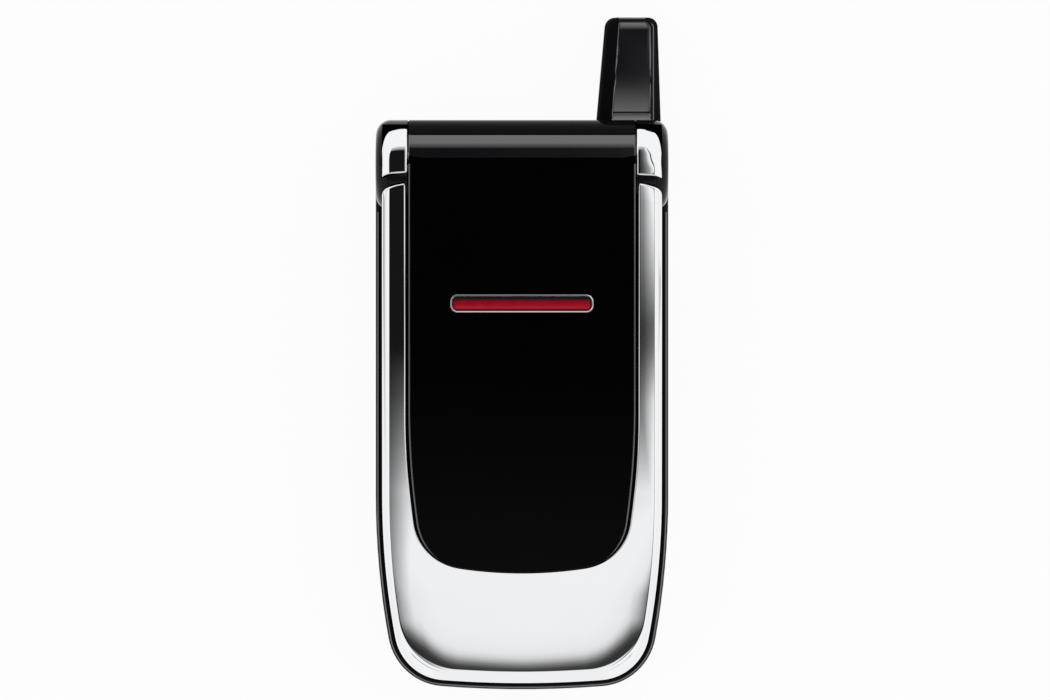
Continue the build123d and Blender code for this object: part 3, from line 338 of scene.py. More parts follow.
def face_height(point):
    """Height of the chrome face: crown, chin and a pillow towards the bevel."""
    wider = (FRONT_BEVEL - SIDE_BEVEL) * (1 - smoothstep(*FRONT_BEVEL_X, abs(point.x)))
    from_rim = inside_crease(point) + SIDE_BEVEL + wider
    width = PILLOW_WIDTH + PILLOW_WIDER * smoothstep(*PILLOW_CHIN, point.y)
    share = max(0.0, 1 - (from_rim + PILLOW_OFFSET) / width)
    return crown(point.y) - chin_drop(point.y) - PILLOW_DROP * share**3


def around(turn, reach):
    """The y and z at an angle round the hinge axis, counted from straight up, and a distance."""
    return HINGE_Y + reach * math.sin(turn), HINGE_Z + reach * math.cos(turn)


def ear_radius(x):
    """The ear's radius about the hinge, smaller at its rounded outer corner."""
    beyond = abs(x) - (EAR_OUTER - REAR_CORNER)
    if beyond <= 0:
        return BARREL_RADIUS
    return BARREL_RADIUS - REAR_CORNER + math.sqrt(max(REAR_CORNER**2 - beyond**2, 0.0))


def end_of_side(x, z):
    """How far up the chrome's sides reach, where they pass round the ears."""
    reach = ear_radius(x) + END_CLEARANCE
    return HINGE_Y - math.sqrt(max(reach**2 - (z - HINGE_Z) ** 2, 0.0))


def bevel_section(ray, bevel, crease):
    """The bevel's points along a ray, each with how far it lies below the crease."""
    forward = smoothstep(0.0, FORWARD_FULL, 1 - ray[1].x ** 2)
    turned = smoothstep(*CORNER_FALL_X, abs(crease.x))
    section = []
    for part, side, front, corner in zip(BEVEL_PARTS, SIDE_FALL, FRONT_FALL, CORNER_FALL):
        side_slope = side / SIDE_BEVEL
        front_slope = (front + (corner - front) * turned) / FALL_WIDTH
        fall = bevel * (side_slope + (front_slope - side_slope) * forward)
        section.append((ray_point(ray, LID_RIM + bevel * part), fall))
    return section


def build_chrome_frame():
    """The U: a lip at the window, the soft face, a soft crease, the bright bevel and the skirt."""
    rows = []
    for outer_ray, inner_ray in zip(body_rays(HINGE_Y), window_rays(HINGE_Y)):
        bevel = bevel_width(outer_ray)
        lip_out = inner_ray[1]
        sideways = lip_out.x**2
        lip = LIP_RADIUS + LIP_RADIUS_SIDE * sideways
        wall = ray_point(inner_ray, -(LIP_GAP + LIP_GAP_SIDE * sideways))
        crease = ray_point(outer_ray, LID_RIM + bevel)
        start = wall + lip_out * lip
        across = crease - start
        lip_z = face_height(start)
        section = [(wall, lip_z - LIP_DEEP)]
        for out, up in arc((lip, -lip), lip, 180, LIP_END_DEGREES, LIP_STEPS):
            section.append((wall + lip_out * out, lip_z + up + LIP_SINK - LIP_SINK * out / lip))
        for step in range(1, FACE_STEPS + 1):
            point = start + across * step / FACE_STEPS
            section.append((point, face_height(point)))
        crease_z = section[-1][1]
        for point, fall in bevel_section(outer_ray, bevel, crease):
            section.append((point, crease_z - fall))
        section.append((ray_point(outer_ray, LID_RIM), SKIRT_LOW + 0.1))
        section.append((ray_point(outer_ray, LID_RIM + 0.1), SKIRT_LOW))
        section.append((crease, SKIRT_LOW))
        section.append((crease, crease_z - CREASE_DEEP))
        rows.append([(point.x, point.y, z) for point, z in section])
    wall_and_lip = 1 + (LIP_STEPS + 1)
    shift_ends(rows, wall_and_lip + FACE_STEPS + ROLLED_BEVEL_POINTS)
    return tube("chrome_frame", rows)


def shift_ends(rows, rolled_count):
    """Ends the straight sides at the round hollow over the ears, with a rolled edge."""
    straight_low = BODY_LOW + BODY_SIDE_START
    reach = HINGE_Y - straight_low
    for row in rows:
        for index, (x, y, z) in enumerate(row):
            if y <= straight_low:
                continue
            cut = END_CORNER_CUT * smoothstep(*END_CORNER_X, abs(x)) ** 1.5
            end_y = end_of_side(x, z) - END_GAP - cut
            from_end = HINGE_Y - y
            if 0 < index < rolled_count:
                z -= roll_off(0.12, from_end, 0.3) + roll_off(0.1, from_end, 2.2)
            row[index] = (x, straight_low + (end_y - straight_low) * (y - straight_low) / reach, z)


# ---------------------------------------- the window


def window_point(x, along, depth):
    """A point on the window or in it: along the crown to the hinge, then round the barrel."""
    if along <= HINGE_Y:
        return (x, along, crown(along) - depth)
    return (x, *around((along - HINGE_Y) / BARREL_RADIUS, BARREL_RADIUS - depth))


def window_row(loop, depth):
    return [window_point(x, y, depth) for x, y in loop]


def filled(loops, holes, inside_points):
    """Triangles over flat loops: outlines, holes in them and points between."""
    points, edges = [], []
    for loop in loops + holes:
        first = len(points)
        points += loop
        edges += [(first + i, first + (i + 1) % len(loop)) for i in range(len(loop))]
    points += inside_points
    inside_only, nearness = 1, 1e-6
    flat = [Vector(point) for point in points]
    found = delaunay_2d_cdt(flat, edges, [], inside_only, nearness)
    faces = []
    for face in found[2]:
        middle = sum((found[0][i] for i in face), Vector((0, 0))) / len(face)
        if not any(inside_loop(middle, hole) for hole in holes):
            faces.append(face)
    return found[0], faces


def inside_loop(point, loop):
    inside = False
    for (ax, ay), (bx, by) in zip(loop, loop[1:] + loop[:1]):
        if (ay > point[1]) != (by > point[1]):
            if point[0] < ax + (point[1] - ay) / (by - ay) * (bx - ax):
                inside = not inside
    return inside


def offset_loop(loop, inset):
    """The loop moved inwards, for a loop that runs anticlockwise."""
    moved = []
    for index, point in enumerate(loop):
        before, after = Vector(loop[index - 1]), Vector(loop[(index + 1) % len(loop)])
        along = (after - before).normalized()
        moved.append((point[0] - along.y * inset, point[1] + along.x * inset))
    return moved


def window_loop():
    """The window's outline anticlockwise, unrolled past the hinge line."""
    loop = [tuple(ray_point(ray, 0)) for ray in window_rays(WINDOW_TOP)]
    steps = 40
    across = [WINDOW_HALF_WIDTH * (1 - 2 * step / steps) for step in range(1, steps)]
    return loop + [(x, WINDOW_TOP) for x in across]


def window_grid(outline):
    """Points between the window's edge and the light bar, closer together round the barrel."""
    margin = offset_loop(outline, 1.0)
    near_slot = bar_loop(-0.8)
    grid = []
    y = WINDOW_LOW + 1.0
    while y < WINDOW_TOP - 0.4:
        for step in range(-11, 12):
            point = (step * GRID_ACROSS, y)
            if inside_loop(point, margin) and not inside_loop(point, near_slot):
                grid.append(point)
        y += GRID_ALONG if y < HINGE_Y - 3 else GRID_ROUND
    return grid


def rounded(point, digits=4):
    return tuple(round(c, digits) for c in point)


def build_window():
    """The black window with its rounded edge and the slot for the light bar."""
    outline = window_loop()
    slot = bar_loop(0)
    edge = 0.16
    profile = [(0.0, WINDOW_DEEP), (0.0, edge)]
    profile += [(edge - out, edge - up) for out, up in arc((0, 0), edge, 0, 90, 5)][1:]
    profile += [(edge + 0.04, 0.0), (edge + 0.1, 0.0)]
    bm = bmesh.new()
    rows = [window_row(offset_loop(outline, inset), down + WINDOW_SINK) for inset, down in profile]
    outer_rows = skin_rows(bm, rows)
    slot_rows = skin_rows(bm, [window_row(slot, depth) for depth in (WINDOW_DEEP, WINDOW_SINK)])
    inner = offset_loop(outline, profile[-1][0])
    points, faces = filled([inner], [slot], window_grid(outline))
    known = dict(zip(map(rounded, inner), outer_rows[-1]))
    known.update(zip(map(rounded, slot), slot_rows[-1]))
    verts = []
    for point in points:
        on_face = window_point(point[0], point[1], WINDOW_SINK)
        verts.append(known.get(rounded(point)) or bm.verts.new(on_face))
    for face in faces:
        bm.faces.new([verts[i] for i in face])
    close_between(bm, outer_rows[0], slot_rows[0])
    return mesh_object(bm, "window_panel", 40)


def build_window_edges():
    """The window's polished side edges: narrow rounded rims that thin out at the lower corners."""
    thin_end, full = 0.55, 0.97    # the rays' sideways shares where the rim ends and is full
    edges = []
    for side, name in ((-1, "left"), (1, "right")):
        rows = []
        for ray in window_rays(HINGE_Y):
            sideways = ray[1].x * side
            if sideways < thin_end:
                continue
            wide = 0.02 + 0.22 * smoothstep(thin_end, full, sideways)
            profile = [(wide, 0.5), (-0.01, 0.5), (-0.01, 0.13), (wide * 0.15, 0.06)]
            profile += [(wide * 0.4, 0.015), (wide * 0.65, 0.002), (wide * 0.9, 0.006)]
            profile.append((wide, 0.03))
            rows.append([window_point(*ray_point(ray, inset), depth) for inset, depth in profile])
        edges.append(tube(f"window_edge_{name}", rows, 50))
    return edges


def close_between(bm, outer, inner):
    """Closes the underside between an outline and a slot in it."""
    loops, holes = ([[(vert.co.x, vert.co.y) for vert in verts]] for verts in (outer, inner))
    points, faces = filled(loops, holes, [])
    known = {rounded(vert.co.xy, 3): vert for vert in list(outer) + list(inner)}
    for face in faces:
        corners = [known.get(rounded(points[i], 3)) for i in face]
        if None not in corners and len(set(corners)) == len(corners):
            bm.faces.new(corners)


# ---------------------------------------- light bar


def bar_loop(inset, size=LIGHT_BAR_SIZE, corner=LIGHT_BAR_CORNER, middle=(0, LIGHT_BAR_Y)):
    """Points round the light bar's outline, moved inwards."""
    radius = max(corner - inset, 0.02)
    wide, high = (length / 2 - inset - radius for length in size)
    points = []
    for x, y, start in ((1, 1, 0), (-1, 1, 90), (-1, -1, 180), (1, -1, 270)):
        points += arc((x * wide, y * high), radius, start, start + 90, BAR_CORNER_STEPS)
    return [(x + middle[0], middle[1] + y) for x, y in points]


def lens_loop(inset):
    return bar_loop(inset, LENS_SIZE, LENS_CORNER, LENS_MIDDLE)


def build_light_bar():
    """A thin chrome bead round the slot, a black well in it and the red lens in the well."""
    bead = [(0.0, 1.0), (0.0, 0.02), (0.012, 0.005), (0.05, -0.01), (0.15, -0.032), (0.17, -0.033)]
    bead += [(0.19, -0.01), (BEAD_WIDTH, 0.08), (BEAD_WIDTH, 1.0)]
    rows = [window_row(bar_loop(inset), depth) for inset, depth in bead]
    ring = tube("light_bar_ring_skin", rows, 60, close_path=True)
    hollow, round_lens = bar_loop(BEAD_WIDTH), lens_loop(-0.01)
    wall = [(hollow, WELL_DEEP), (hollow, 0.16), (hollow, 0.1)]
    wall += [(round_lens, LENS_SINK + 0.02), (round_lens, WELL_DEEP)]
    rows = [window_row(loop, depth) for loop, depth in wall]
    well = tube("light_bar_well", rows, 30, close_path=True)
    bulge = [(0, 1.5 - LENS_SINK), (0, 0.08), (0.03, 0.03), (0.1, 0), (0.3, -0.03), (0.5, -0.04)]
    rows = [window_row(lens_loop(inset), LENS_SINK + down) for inset, down in bulge]
    return ring, well, tube("light_bar_lens_skin", rows, 50)


# ---------------------------------------- hinge caps

CAP_TURN_STEPS, CAP_FACE_STEPS, CAP_BEVEL_STEPS = 64, 14, 10
CAP_CREASE_X, CAP_CREASE_TURN = 19.72, 1.3    # the crease in front, and how far it turns in behind


def cap_reach(turn):
    """Distance of the cap's face from the hinge axis: flat on top, then round with the ear."""
    flat = (CAP_HIGH - HINGE_Z) / math.cos(turn)
    swell = BARREL_RADIUS + CAP_SWELL * (1 - smoothstep(math.radians(10), math.radians(40), turn))
    soft = 0.012
    return min(flat, swell) - soft * math.log(1 + math.exp(-abs(flat - swell) / soft))


def cap_profile(y, side):
    """One slice of a cap across its ear: points (x, how far below the cap's face)."""
    outer = CAP_TO
    if y > CAP_CORNER_Y:
        rise = min((y - CAP_CORNER_Y) / (CAP_TOP_Y + 0.12 - CAP_CORNER_Y), 0.995)
        outer = CAP_TO - CAP_CORNER_WIDE * (1 - math.sqrt(1 - rise**2))
    turned_in = CAP_CREASE_TURN * smoothstep(36.5, CAP_TOP_Y + 1.5, y)
    crease = min(CAP_CREASE_X - turned_in, outer - 0.45)
    fall = 0.11 if side == "left" else 0.13 + 0.17 * smoothstep(35.2, 37.2, y)
    inner_edge = [(0, 0.95), (0, 0.42), (0.02, 0.3), (0.09, 0.16), (0.19, 0.06), (0.3, 0.01)]
    profile = [(CAP_FROM + out, drop) for out, drop in inner_edge]
    start = CAP_FROM + 0.42
    for index in range(CAP_FACE_STEPS + 1):
        part = index / CAP_FACE_STEPS
        profile.append((start + (crease - start) * part, fall * part**3))
    wide = outer - crease
    for index in range(1, CAP_BEVEL_STEPS + 1):
        part = index / CAP_BEVEL_STEPS
        profile.append((crease + wide * part, fall + wide * (0.3 * part + 0.02 * part**2)))
    last = profile[-1][1]
    profile += [(outer + 0.03, last + 0.03), (outer + 0.05, last + 0.09), (outer + 0.05, 1.3)]
    return profile


def build_caps():
    """A chrome cap on each hinge ear: flat on top, round behind, bevelled outside, rolled edges."""
    high_turn = math.asin((CAP_TOP_Y - HINGE_Y) / BARREL_RADIUS)
    caps = []
    for side, lowest in CAP_LOWEST_Y.items():
        sign = -1 if side == "left" else 1
        low_turn = math.asin((lowest - HINGE_Y) / BARREL_RADIUS)
        rows = []
        for step in range(CAP_TURN_STEPS + 1):
            share = step / CAP_TURN_STEPS
            share -= 0.225 * math.sin(2 * math.pi * share) / math.pi    # closer at both ends
            turn = low_turn + (high_turn - low_turn) * share
            reach = cap_reach(turn)
            roll = roll_off(0.14, min(share, 1 - share) * (high_turn - low_turn) * reach, 0.22)
            row = []
            for x, drop in cap_profile(HINGE_Y + reach * math.sin(turn), side):
                bottom = 0.07 * (x - CAP_FROM) + 0.62 * max(0.0, (x - 18.9) / 1.9) ** 3
                here = turn - bottom / BARREL_RADIUS * (1 - share) ** 3
                face = min(cap_reach(here), reach + 0.03)
                row.append((sign * x, *around(here, face - drop - roll)))
            rows.append(row)
        caps.append(tube(f"hinge_cap_skin_{side}", rows, 40))
    return caps


# ---------------------------------------- antenna

ANTENNA_STATIONS = [
    42.78, 42.9, 43.1, 43.3, 43.5, 43.7, 43.8, 43.86, 43.92, 43.98, 44.04, 44.1, 44.3, 44.6,
    *[45.0 + 0.6 * i for i in range(20)],
    56.7, 56.85, 57.0, 57.2, 57.4, 57.55, 57.62, 57.68, 57.74, 57.8, 57.85, 57.95, 58.05, 58.13,
    58.2, 58.26, 58.32, 58.37, 58.41, 58.44, 58.465, 58.482, ANTENNA_TIP,
]
GLOSSY_FACET, GLOSSY_LINE = range(22, 41), 42    # segments of a slice, counted round it


def antenna_facet(y):
    """Height of the facet over the shoulders: raised at the tip, sinking, up again at the root."""
    span = FACET_TIP - ANTENNA_LEDGE
    share = min(max((FACET_TIP - y) / span, 0.0), 1.0)
    height = 0.3 - math.radians(1.5 * share + 3.8 * share**3 / 3) * span
    height += roll_off(0.09, FACET_TIP - y, 1.6)
    into = max(0.0, ANTENNA_LEDGE - y)
    return height + 0.4 * into + 0.07 * into**2


def antenna_section(y):
    """One slice of the antenna: rounded sides, level shoulders, and the facet between them."""
    share = (y - BODY_HIGH) / (ANTENNA_TIP - BODY_HIGH)
    to_tip = ANTENNA_TIP - y
    plan = rounding(to_tip, 1.45)
    left = 11.2 + 1.4 * share + plan
    right = 20.94 - 0.5 * share - plan
    top = ANTENNA_HIGH - rounding(to_tip, 0.4)
    low = ANTENNA_LOW + rounding(to_tip, 2.2)
    facet_left = 13.54 + 1.2 * share
    facet_right = 19.4 - rounding(max(FACET_TIP - y, 0.0), 0.9)
    facet = antenna_facet(y) * smoothstep(0.0, 0.2, FACET_TIP - y)
    under, edge, fall = 1.7, 0.4, 0.3
    points = arc((left + under, low + under), under, 270, 180, 6)
    points += arc((left + edge, top - fall - edge), edge, 180, 108, 7)
    start, edge_top = points[-1]
    for part in [i / 8 for i in range(1, 9)]:
        x = start + (facet_left - 0.12 - start) * part
        points.append((x, top - (top - edge_top) * (1 - part) ** 1.6))
    bead = 0.04 * smoothstep(0.0, 0.3, FACET_TIP - y)
    points += [(facet_left - 0.07, top), (facet_left + 0.02, top + bead)]
    points += [(facet_left + 0.06, top + bead + facet * 0.2), (facet_left + 0.14, top + facet)]
    flat = facet_right - facet_left - 0.4
    points += [(facet_left + 0.2 + flat * i / 10, top + facet) for i in range(11)]
    points += [(facet_right - 0.12, top + facet * 0.96), (facet_right - 0.05, top + facet * 0.7)]
    points += [(facet_right, top + facet * 0.3 + 0.01), (facet_right + 0.06, top + 0.005)]
    band = min(facet_right + 0.5, right - 0.5)
    points += [(band - 0.18, top - 0.002), (band, top - 0.085), (band + 0.03, top - 0.09)]
    edge = 0.2
    shelf = right - edge
    for part in (0.2, 0.45, 0.7, 0.95):
        points.append((band + (shelf - band) * part, top - 0.09 - 0.072 * part))
    points += arc((shelf, top - 0.17 - edge), edge, 86, 0, 8)
    points += arc((right - under, low + under), under, 0, -90, 6)
    return [(x, y, z) for x, z in points]


def build_antenna():
    """The stub antenna with a rounded tip."""
    return tube("antenna_skin", [antenna_section(y) for y in ANTENNA_STATIONS], 38)


def gloss_antenna(antenna, gloss):
    """The facet and a thin line beside it are glossy; the rest of the antenna stays deep black."""
    antenna.data.materials.append(gloss)
    count = len(antenna_section(BODY_HIGH))
    side_faces = len(antenna.data.polygons) - 2
    for face in antenna.data.polygons[:side_faces]:
        segment = face.index % count
        beside = segment == GLOSSY_LINE and face.center.y < (ANTENNA_TIP - 1.0) * MM
        if segment in GLOSSY_FACET or beside:
            face.material_index = 1


def build_rim_bead():
    """A thin bead round the body's rim."""
    section = [(0.07, -0.25), (0.07, -0.06), (0.05, 0.0), (0.03, 0.02), (-0.11, 0.075)]
    section += [(-0.13, 0.05), (-0.14, -0.02), (-0.14, -0.25)]
    rows = []
    for ray in body_rays(RIM_BEAD_TOP):
        row = [(*ray_point(ray, RIM_BEAD_INSET - out), RIM_BEAD_LEVEL + up) for out, up in section]
        rows.append(row)
    return tube("body_rim_bead", rows, 35)


# ---------------------------------------- key labels


def label_place(node):
    """The middle of a key's top."""
    low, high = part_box(node)
    middle = [(a + b) / 2 / MM for a, b in zip(low, high)]
    return middle[0], middle[1], high[2] / MM


def text_label(node, text, size):
    """A digit or sign on a key, from Blender's own plain font, its size a share of LABEL_SIZE."""
    x, y, top = label_place(node)
    words = bpy.data.curves.new(f"label_{node}", "FONT")
    words.body = text
    words.size = LABEL_SIZE * size * MM
    words.align_x = words.align_y = "CENTER"
    words.extrude = LABEL_THICK * MM / 2
    words.resolution_u = 6
    shape = bpy.data.objects.new(f"label_{node}_shape", words)
    mesh = bpy.data.meshes.new_from_object(shape)
    mesh.name = f"label_{node}"
    bpy.data.objects.remove(shape)
    spans = [[vert.co[axis] for vert in mesh.vertices] for axis in (0, 1)]
    middle = [(min(span) + max(span)) / 2 for span in spans]
    for vert in mesh.vertices:
        vert.co.x += x * MM - middle[0]
        vert.co.y += y * MM - middle[1]
        vert.co.z += top * MM
    return add_object(f"label_{node}", mesh)


def ribbon_label(node, path, wide):
    """A raised ribbon along a path on a key, as wide at each share of the path as wide() says."""
    x, y, top = label_place(node)
    last = len(path) - 1
    high = LABEL_THICK / 2
    rows = []
    for index, point in enumerate(path):
        along = Vector(path[min(index + 1, last)]) - Vector(path[max(index - 1, 0)])
        aside = Vector((-along.y, along.x)).normalized() * wide(index / last)
        corners = ((aside, -LABEL_SINK), (aside, high), (-aside, high), (-aside, -LABEL_SINK))
        rows.append([(x + point[0] + off.x, y + point[1] + off.y, top + up) for off, up in corners])
    return tube(f"label_{node}", rows, 30)


def handset_width(share):
    """Thick at both ends, thin in the middle."""
    end = min(share, 1 - share)
    return 0.22 + 0.34 * (1 - smoothstep(0.1, 0.24, end)) - 0.1 * max(0.0, 1 - end / 0.03)


def build_labels():
    """The signs on the keys, each with its finish and key: digits, star, hash, handsets, bars."""
    signs = [(f"key_{digit}", digit, 1.0) for digit in "0123456789"]
    signs += [("key_star", "*", 1.4), ("key_hash", "#", 0.9)]
    labels = [(text_label(key, sign, size), "label_ink", key) for key, sign, size in signs]
    handset = [(a, b - 2.0) for a, b in arc((0, 0), 2.6, 150, 30, 24)]
    for key, finish in (("call_key", "label_green"), ("end_key", "label_red")):
        labels.append((ribbon_label(key, handset, handset_width), finish, key))
    bar = [(-1.4 + 2.8 * i / 10, 0.0) for i in range(11)]
    for key in ("soft_key_left", "soft_key_right"):
        labels.append((ribbon_label(key, bar, lambda share: 0.22), "label_ink", key))
    return labels


# ---------------------------------------- shader nodes


def feed(tree, socket, value):
    """Links a node's output to an input, or sets the input."""
    if isinstance(value, bpy.types.NodeSocket):
        tree.links.new(value, socket)
    else:
        socket.default_value = value


def add_node(tree, kind, **inputs):
    """A shader node with its inputs fed; an underscore stands for a space in an input's name."""
    node = tree.nodes.new(f"ShaderNode{kind}")
    for name, value in inputs.items():
        feed(tree, node.inputs[name.replace("_", " ")], value)
    return node


def math_node(tree, operation, *values):
    node = tree.nodes.new("ShaderNodeMath")
    node.operation = operation
    for socket, value in zip(node.inputs, values):
        feed(tree, socket, value)
    return node.outputs[0]


def bare_tree(owner):
    """The emptied node tree of a material or a world."""
    owner.use_nodes = True
    owner.node_tree.nodes.clear()
    return owner.node_tree


def axes(tree, space):
    """The coordinates X, Y and Z of an object or of a direction in the world."""
    place = add_node(tree, "TexCoord").outputs[space]
    return tuple(add_node(tree, "SeparateXYZ", Vector=place).outputs)


def noise(tree, scale, detail=3.0, stretch=(1, 1, 1)):
    """Noise in object space, its scale counted per metre."""
    place = add_node(tree, "TexCoord").outputs["Object"]
    place = add_node(tree, "Mapping", Vector=place, Scale=stretch).outputs["Vector"]
    return add_node(tree, "TexNoise", Vector=place, Scale=scale, Detail=detail).outputs["Fac"]


def map_range(tree, value, low, high, to=(0.0, 1.0)):
    limits = dict(zip(("From_Min", "From_Max", "To_Min", "To_Max"), (low, high, *to)))
    return add_node(tree, "MapRange", Value=value, **limits).outputs["Result"]


def ranged(tree, value, low, high):
    """Spreads the middle of the noise's range from low to high."""
    return map_range(tree, value, 0.3, 0.7, (low, high))


def mixed_colour(tree, value, first, second):
    """Mixes two colours, each three values or another node's output."""
    node = tree.nodes.new("ShaderNodeMix")
    node.data_type = "RGBA"
    for name, colour in (("A", first), ("B", second)):
        feed(tree, node.inputs[name], (*colour, 1) if isinstance(colour, tuple) else colour)
    feed(tree, node.inputs["Factor"], value)
    return node.outputs["Result"]


# ---------------------------------------- materials


def principled(name):
    """A new material's tree and its one shader."""
    material = bpy.data.materials.new(name)
    tree = bare_tree(material)
    shader = add_node(tree, "BsdfPrincipled")
    add_node(tree, "OutputMaterial", Surface=shader.outputs["BSDF"])
    return material, tree, shader


def surface(name, first, second, roughness, scale, stretch=(1, 1, 1), bump=None, **settings):
    """A finish whose colour and roughness vary a little with noise."""
    material, tree, shader = principled(name)
    value = noise(tree, scale, stretch=stretch)
    feed(tree, shader.inputs["Base Color"], mixed_colour(tree, value, first, second))
    feed(tree, shader.inputs["Roughness"], ranged(tree, value, *roughness))
    for socket, setting in settings.items():
        shader.inputs[socket.replace("_", " ")].default_value = setting
    if bump:
        bump_scale, distance, strength = bump
        height = noise(tree, bump_scale, 2.0)
        grain = add_node(tree, "Bump", Height=height, Distance=distance, Strength=strength)
        feed(tree, shader.inputs["Normal"], grain.outputs["Normal"])
    return material


def red_lens_material():
    """Red plastic with painted shade: darker towards its upper edge, where the well shades it."""
    material, tree, shader = principled("red_lens")
    y = axes(tree, "Object")[1]
    # depth here is painted shade, 0 at the lens's lower edge and 1 at its upper edge, under the
    # well's rim
    depth = map_range(tree, y, (LIGHT_BAR_Y - 0.95) * MM, (LIGHT_BAR_Y + 0.75) * MM)
    cloud = ranged(tree, noise(tree, 900), -0.06, 0.06)
    share = math_node(tree, "ADD", depth, cloud)
    # the first red is the lens as lit, the second is the painted shade of the well at its upper edge
    colour = mixed_colour(tree, share, (0.42, 0.006, 0.02), (0.16, 0.001, 0.009))
    feed(tree, shader.inputs["Base Color"], colour)
    feed(tree, shader.inputs["Roughness"], ranged(tree, noise(tree, 300), 0.12, 0.2))
    shader.inputs["Specular IOR Level"].default_value = 0.15
    return material


def display_glass_material():
    """Black glass with a dark grey picture area under it."""
    material, tree, shader = principled("display_glass")
    x, y, _ = axes(tree, "Object")
    y = math_node(tree, "SUBTRACT", y, PICTURE_Y * MM)
    within = [
        math_node(tree, "LESS_THAN", math_node(tree, "ABSOLUTE", place), half * MM)
        for place, half in zip((x, y), PICTURE_HALF)
    ]
    cloud = noise(tree, 60)
    picture = mixed_colour(tree, cloud, (0.02, 0.024, 0.026), (0.03, 0.035, 0.037))
    border = mixed_colour(tree, cloud, (0.001, 0.001, 0.0012), (0.002, 0.002, 0.0024))
    colour = mixed_colour(tree, math_node(tree, "MULTIPLY", *within), border, picture)
    feed(tree, shader.inputs["Base Color"], colour)
    feed(tree, shader.inputs["Roughness"], ranged(tree, noise(tree, 90), 0.03, 0.06))
    shader.inputs["IOR"].default_value = 1.5
    return material


GLOSS = ((0.0035, 0.0035, 0.004), (0.006, 0.006, 0.007))
SATIN = ((0.012, 0.012, 0.013), (0.02, 0.02, 0.022))
INK_ROUGHNESS = (0.45, 0.55)

# two colours that the noise mixes, the range of roughness, the noise's scale, and other settings;
# a bump is the scale, distance and strength of its own noise
FINISHES = {
    "chrome": ((0.9, 0.905, 0.92), (0.93, 0.935, 0.945), (0.03, 0.055), 90, dict(Metallic=1.0)),
    "black_gloss": (*GLOSS, (0.05, 0.1), 120, dict(IOR=1.45, Specular_IOR_Level=0.08)),
    "body_gloss": (*GLOSS, (0.07, 0.12), 120, dict(IOR=1.45, Specular_IOR_Level=0.15)),
    "shell_black": (
        (0.003, 0.003, 0.0035), (0.005, 0.005, 0.006), (0.06, 0.1), 120,
        dict(IOR=1.45, Specular_IOR_Level=0.02),
    ),
    "hinge_gloss": (
        (0.004, 0.004, 0.005), (0.007, 0.007, 0.008), (0.05, 0.09), 120, dict(IOR=2.2)
    ),
    "antenna_gloss": (
        (0.004, 0.004, 0.006), (0.007, 0.007, 0.009), (0.07, 0.12), 120, dict(IOR=2.35)
    ),
    "window": (
        (0.0006, 0.0006, 0.0009), (0.001, 0.001, 0.0014), (0.02, 0.035), 80,
        dict(IOR=1.46, Specular_IOR_Level=0.05),
    ),
    "label_ink": ((0.012, 0.012, 0.014), (0.02, 0.02, 0.022), INK_ROUGHNESS, 2500, {}),
    "label_green": ((0.01, 0.2, 0.03), (0.015, 0.26, 0.04), INK_ROUGHNESS, 2500, {}),
    "label_red": ((0.4, 0.012, 0.012), (0.5, 0.018, 0.018), INK_ROUGHNESS, 2500, {}),
    "satin_black": (*SATIN, (0.3, 0.42), 300, dict(bump=(2500, 0.00001, 0.3))),
    "key_silver": (
        (0.5, 0.51, 0.53), (0.56, 0.57, 0.59), (0.3, 0.36), 4000,
        dict(Metallic=0.6, bump=(14000, 0.000002, 0.2)),
    ),
    "rubber": (
        (0.03, 0.03, 0.032), (0.045, 0.045, 0.047), (0.6, 0.75), 900,
        dict(bump=(4000, 0.00001, 0.4)),
    ),
    "steel": (
        (0.5, 0.5, 0.51), (0.62, 0.62, 0.63), (0.22, 0.38), 300,
        dict(Metallic=1.0, stretch=(1, 25, 1)),
    ),
    "circuit_board": ((0.01, 0.07, 0.03), (0.02, 0.11, 0.05), (0.3, 0.45), 1500, {}),
    "film": ((0.55, 0.55, 0.5), (0.65, 0.65, 0.6), (0.35, 0.5), 400, {}),
    "copper_film": ((0.35, 0.16, 0.05), (0.5, 0.25, 0.1), (0.3, 0.42), 500, {}),
    "battery_label": ((0.05, 0.05, 0.055), (0.08, 0.08, 0.085), (0.45, 0.6), 500, {}),
}


def make_materials():
    finishes = {name: surface(name, *row[:-1], **row[-1]) for name, row in FINISHES.items()}
    finishes["red_lens"] = red_lens_material()
    finishes["display_glass"] = display_glass_material()
    return finishes


# ---------------------------------------- light, floor and camera

CARD_STRENGTH = 0.93             # the softboxes' greatest strength
SHADE_STRENGTH = 0.008           # what the dark cards still give
BAND_LEAN = 10.0                 # degrees by which the dark band's curve moves it at strength 1


def degrees_of(tree, side, up):
    """The angle from straight up towards a side, in degrees."""
    return math_node(tree, "MULTIPLY", math_node(tree, "ARCTAN2", side, up), 180 / math.pi)


def curve(tree, value, points):
    """A curve through (degrees, strength) points: eased when it has few of them, else straight."""
    low, high = points[0][0], points[-1][0]
    ramp = add_node(tree, "ValToRGB", Fac=map_range(tree, value, low, high))
    ramp.color_ramp.interpolation = "EASE" if len(points) < 5 else "LINEAR"
    elements = ramp.color_ramp.elements
    while len(elements) < len(points):
        elements.new((points[len(elements) - 1][0] - low) / (high - low))
    for element, (degree, strength) in zip(elements, points):
        element.position = (degree - low) / (high - low)
        element.color = (strength, strength, strength, 1)
    return ramp.outputs["Color"]


